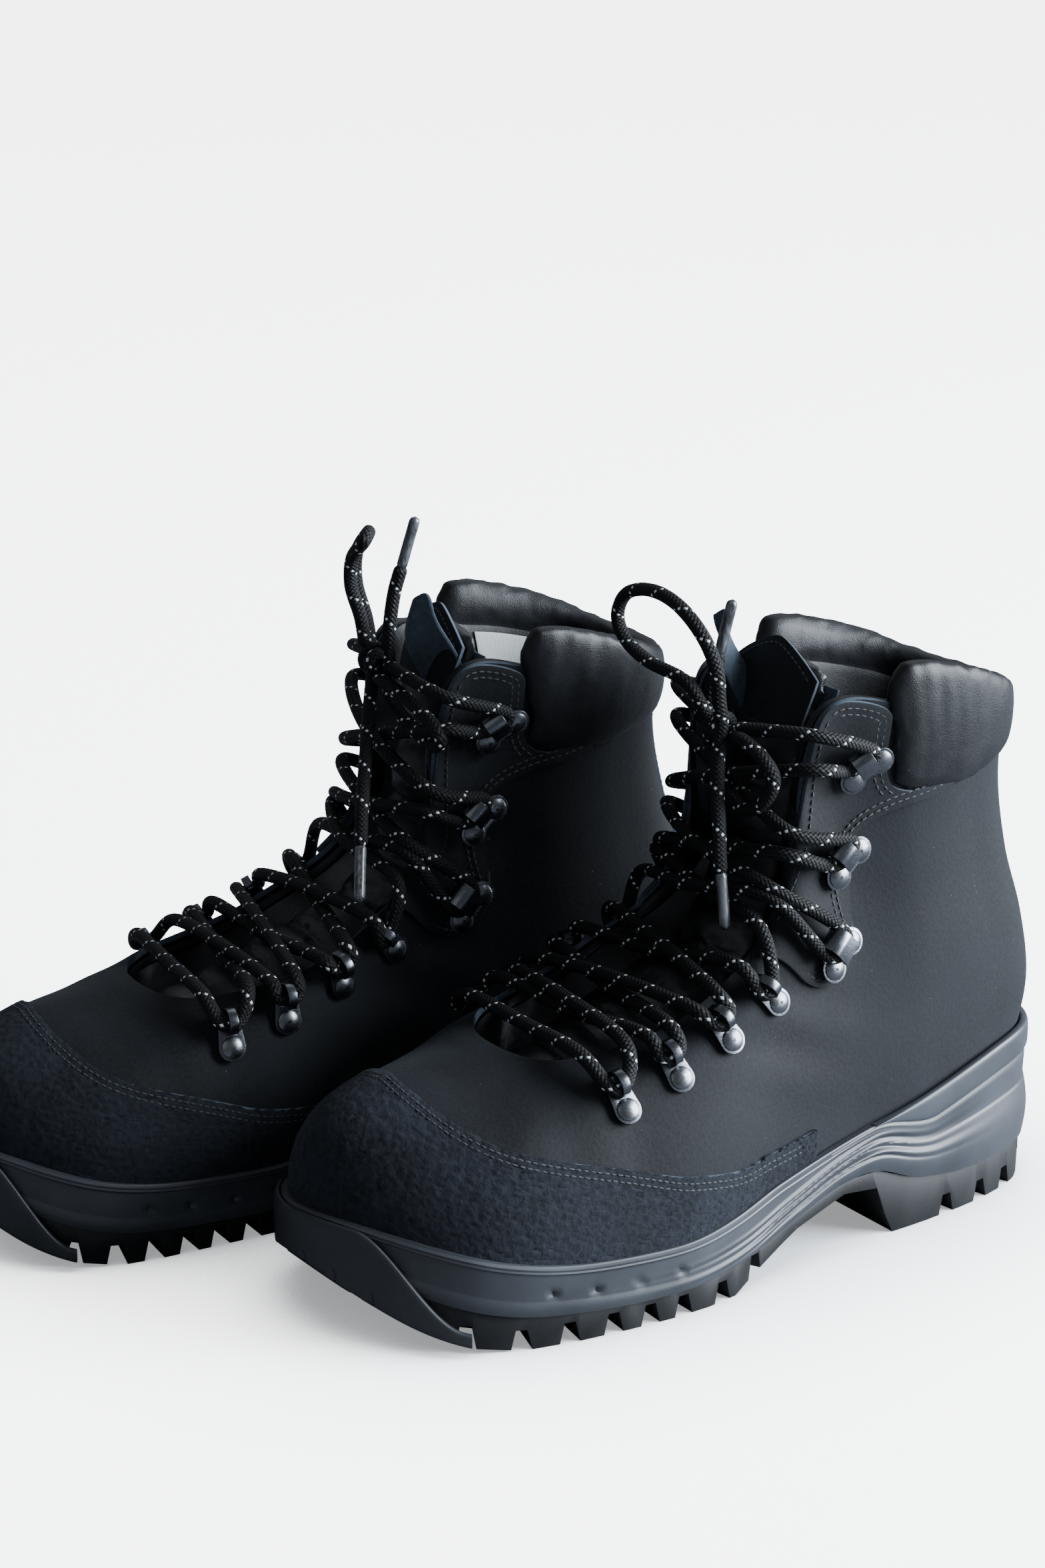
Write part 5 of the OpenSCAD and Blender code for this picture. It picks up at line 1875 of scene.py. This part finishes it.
    def make_metal(self) -> None:
        """Makes the loops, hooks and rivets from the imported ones, with their corners rounded."""
        for word, finish, slot, width in (("lace_loops", GUNMETAL, "cast_metal", 0.45),
                                          ("loop_rivets", RIVET_METAL, "rivet_metal", 0.2),
                                          ("locking_hooks", GUNMETAL, "cast_metal", 0.4),
                                          ("speed_hooks", GUNMETAL, "cast_metal", 0.4),
                                          ("hook_rivets", RIVET_METAL, "rivet_metal", 0.2)):
            piece = softened(self.node(word), self.name(word), width, segments=3)
            dress(piece, finish)
            self.hold(piece, slot)

    def build(self) -> None:
        """Makes the laces and their metal."""
        self.make_ends()
        self.make_laced_part()
        self.make_knot()
        self.make_metal()


@dataclass
class Studio:
    """The camera, the floor and the lights.

    Attributes:
        eye: The camera's place, in metres.
        look: The way it looks.
        lens: Focal length in millimetres.
        roll: The camera's roll, in degrees.
    """

    eye: tuple[float, float, float] = (1.119, -0.598, 0.542)
    look: tuple[float, float, float] = (-0.840, 0.459, -0.288)
    lens: float = 85.0
    roll: float = -0.26

    def place_camera(self) -> None:
        """Makes the camera."""
        camera = bpy.data.objects.new("Camera", bpy.data.cameras.new("Camera"))
        bpy.context.scene.collection.objects.link(camera)
        camera.data.lens = self.lens
        camera.data.sensor_width = 36
        camera.data.clip_start = 0.05
        camera.location = self.eye
        turn = Vector(self.look).to_track_quat("-Z", "Y") @ Quaternion((0, 0, 1), math.radians(self.roll))
        camera.rotation_euler = turn.to_euler()
        bpy.context.scene.camera = camera

    def place_floor(self) -> None:
        """Makes the pale floor: white to the eye, with a painted contact shadow where ambient occlusion dims its
        glow near the boots, but with little light thrown back up.
        """
        bpy.ops.object.select_all(action="DESELECT")
        bpy.ops.mesh.primitive_plane_add(size=30, location=(0, 0, 0))
        floor = bpy.context.object
        floor.name = "Floor"
        material, sheet = new_material("Floor")
        matte = sheet.add("BsdfDiffuse", {"Color": (0.80, 0.82, 0.85, 1)})
        # Painted contact shadow: ambient occlusion dims the floor's glow close to the boots.
        near = sheet.add("AmbientOcclusion", {"Distance": 0.10}, samples=8)
        glow_with_painted_shadow = sheet.add("Emission", {"Color": (0.97, 0.985, 1.0, 1),
                                      "Strength": sheet.span(near.outputs["AO"], 0.35, 0.98, 0.35, 5.0)})
        dull = sheet.add("BsdfDiffuse", {"Color": (0.22, 0.23, 0.25, 1)})
        seen = sheet.add("AddShader", {0: matte.outputs[0], 1: glow_with_painted_shadow.outputs[0]})
        both = sheet.add("MixShader", {0: sheet.add("LightPath").outputs["Is Camera Ray"], 1: dull.outputs[0],
                                       2: seen.outputs[0]})
        sheet.add("OutputMaterial", {0: both.outputs[0]})
        floor.data.materials.append(material)

    def add_light(self, name: str, place: tuple, aim: tuple, size: float, power: float, color: tuple) -> None:
        """Makes one soft square light.

        Args:
            name: The light's name.
            place: Where it stands.
            aim: The point that it shines on.
            size: Its width in metres.
            power: Its power in watts.
            color: Its colour.
        """
        data = bpy.data.lights.new(name, "AREA")
        data.size, data.energy, data.color = size, power, color
        light = bpy.data.objects.new(name, data)
        bpy.context.scene.collection.objects.link(light)
        light.location = place
        light.rotation_euler = (Vector(aim) - Vector(place)).to_track_quat("-Z", "Y").to_euler()

    def place_lights(self) -> None:
        """Makes the lights and the pale surroundings."""
        self.add_light("Window", (1.30, 2.10, 0.85), (0, 0.02, 0.12), 2.0, 360, (0.84, 0.92, 1.0))
        self.add_light("Skylight", (-1.6, 1.6, 2.6), (0, 0, 0.1), 2.4, 16, (0.90, 0.95, 1.0))
        self.add_light("Fill", (1.5, -2.2, 1.6), (0, 0, 0.1), 2.0, 5, (0.92, 0.96, 1.0))
        world = bpy.data.worlds.new("World")
        bpy.context.scene.world = world
        world.use_nodes = True
        background = world.node_tree.nodes["Background"]
        background.inputs["Color"].default_value = (0.84, 0.91, 1.0, 1)
        background.inputs["Strength"].default_value = 0.2
        sheet = Sheet(world.node_tree)
        backdrop = sheet.add("Background", {"Color": (0.97, 0.985, 1.0, 1), "Strength": 5.2})
        both = sheet.add("MixShader", {0: sheet.add("LightPath").outputs["Is Camera Ray"],
                                       1: background.outputs[0], 2: backdrop.outputs[0]})
        sheet.put(world.node_tree.nodes["World Output"].inputs["Surface"], both.outputs[0])

    def build(self) -> None:
        """Makes the camera, the floor and the lights."""
        self.place_camera()
        self.place_floor()
        self.place_lights()


def main() -> None:
    """Builds both boots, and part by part."""
    logging.basicConfig(level=logging.INFO, format="%(message)s")
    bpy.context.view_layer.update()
    Studio().build()
    for kind in (Lacing, Sole, Upper, Padding):
        for side in Side:
            LOG.info("building %s %s", side.name.lower(), kind.__name__.lower())
            kind(side).build()


if __name__ == "__main__":
    main()
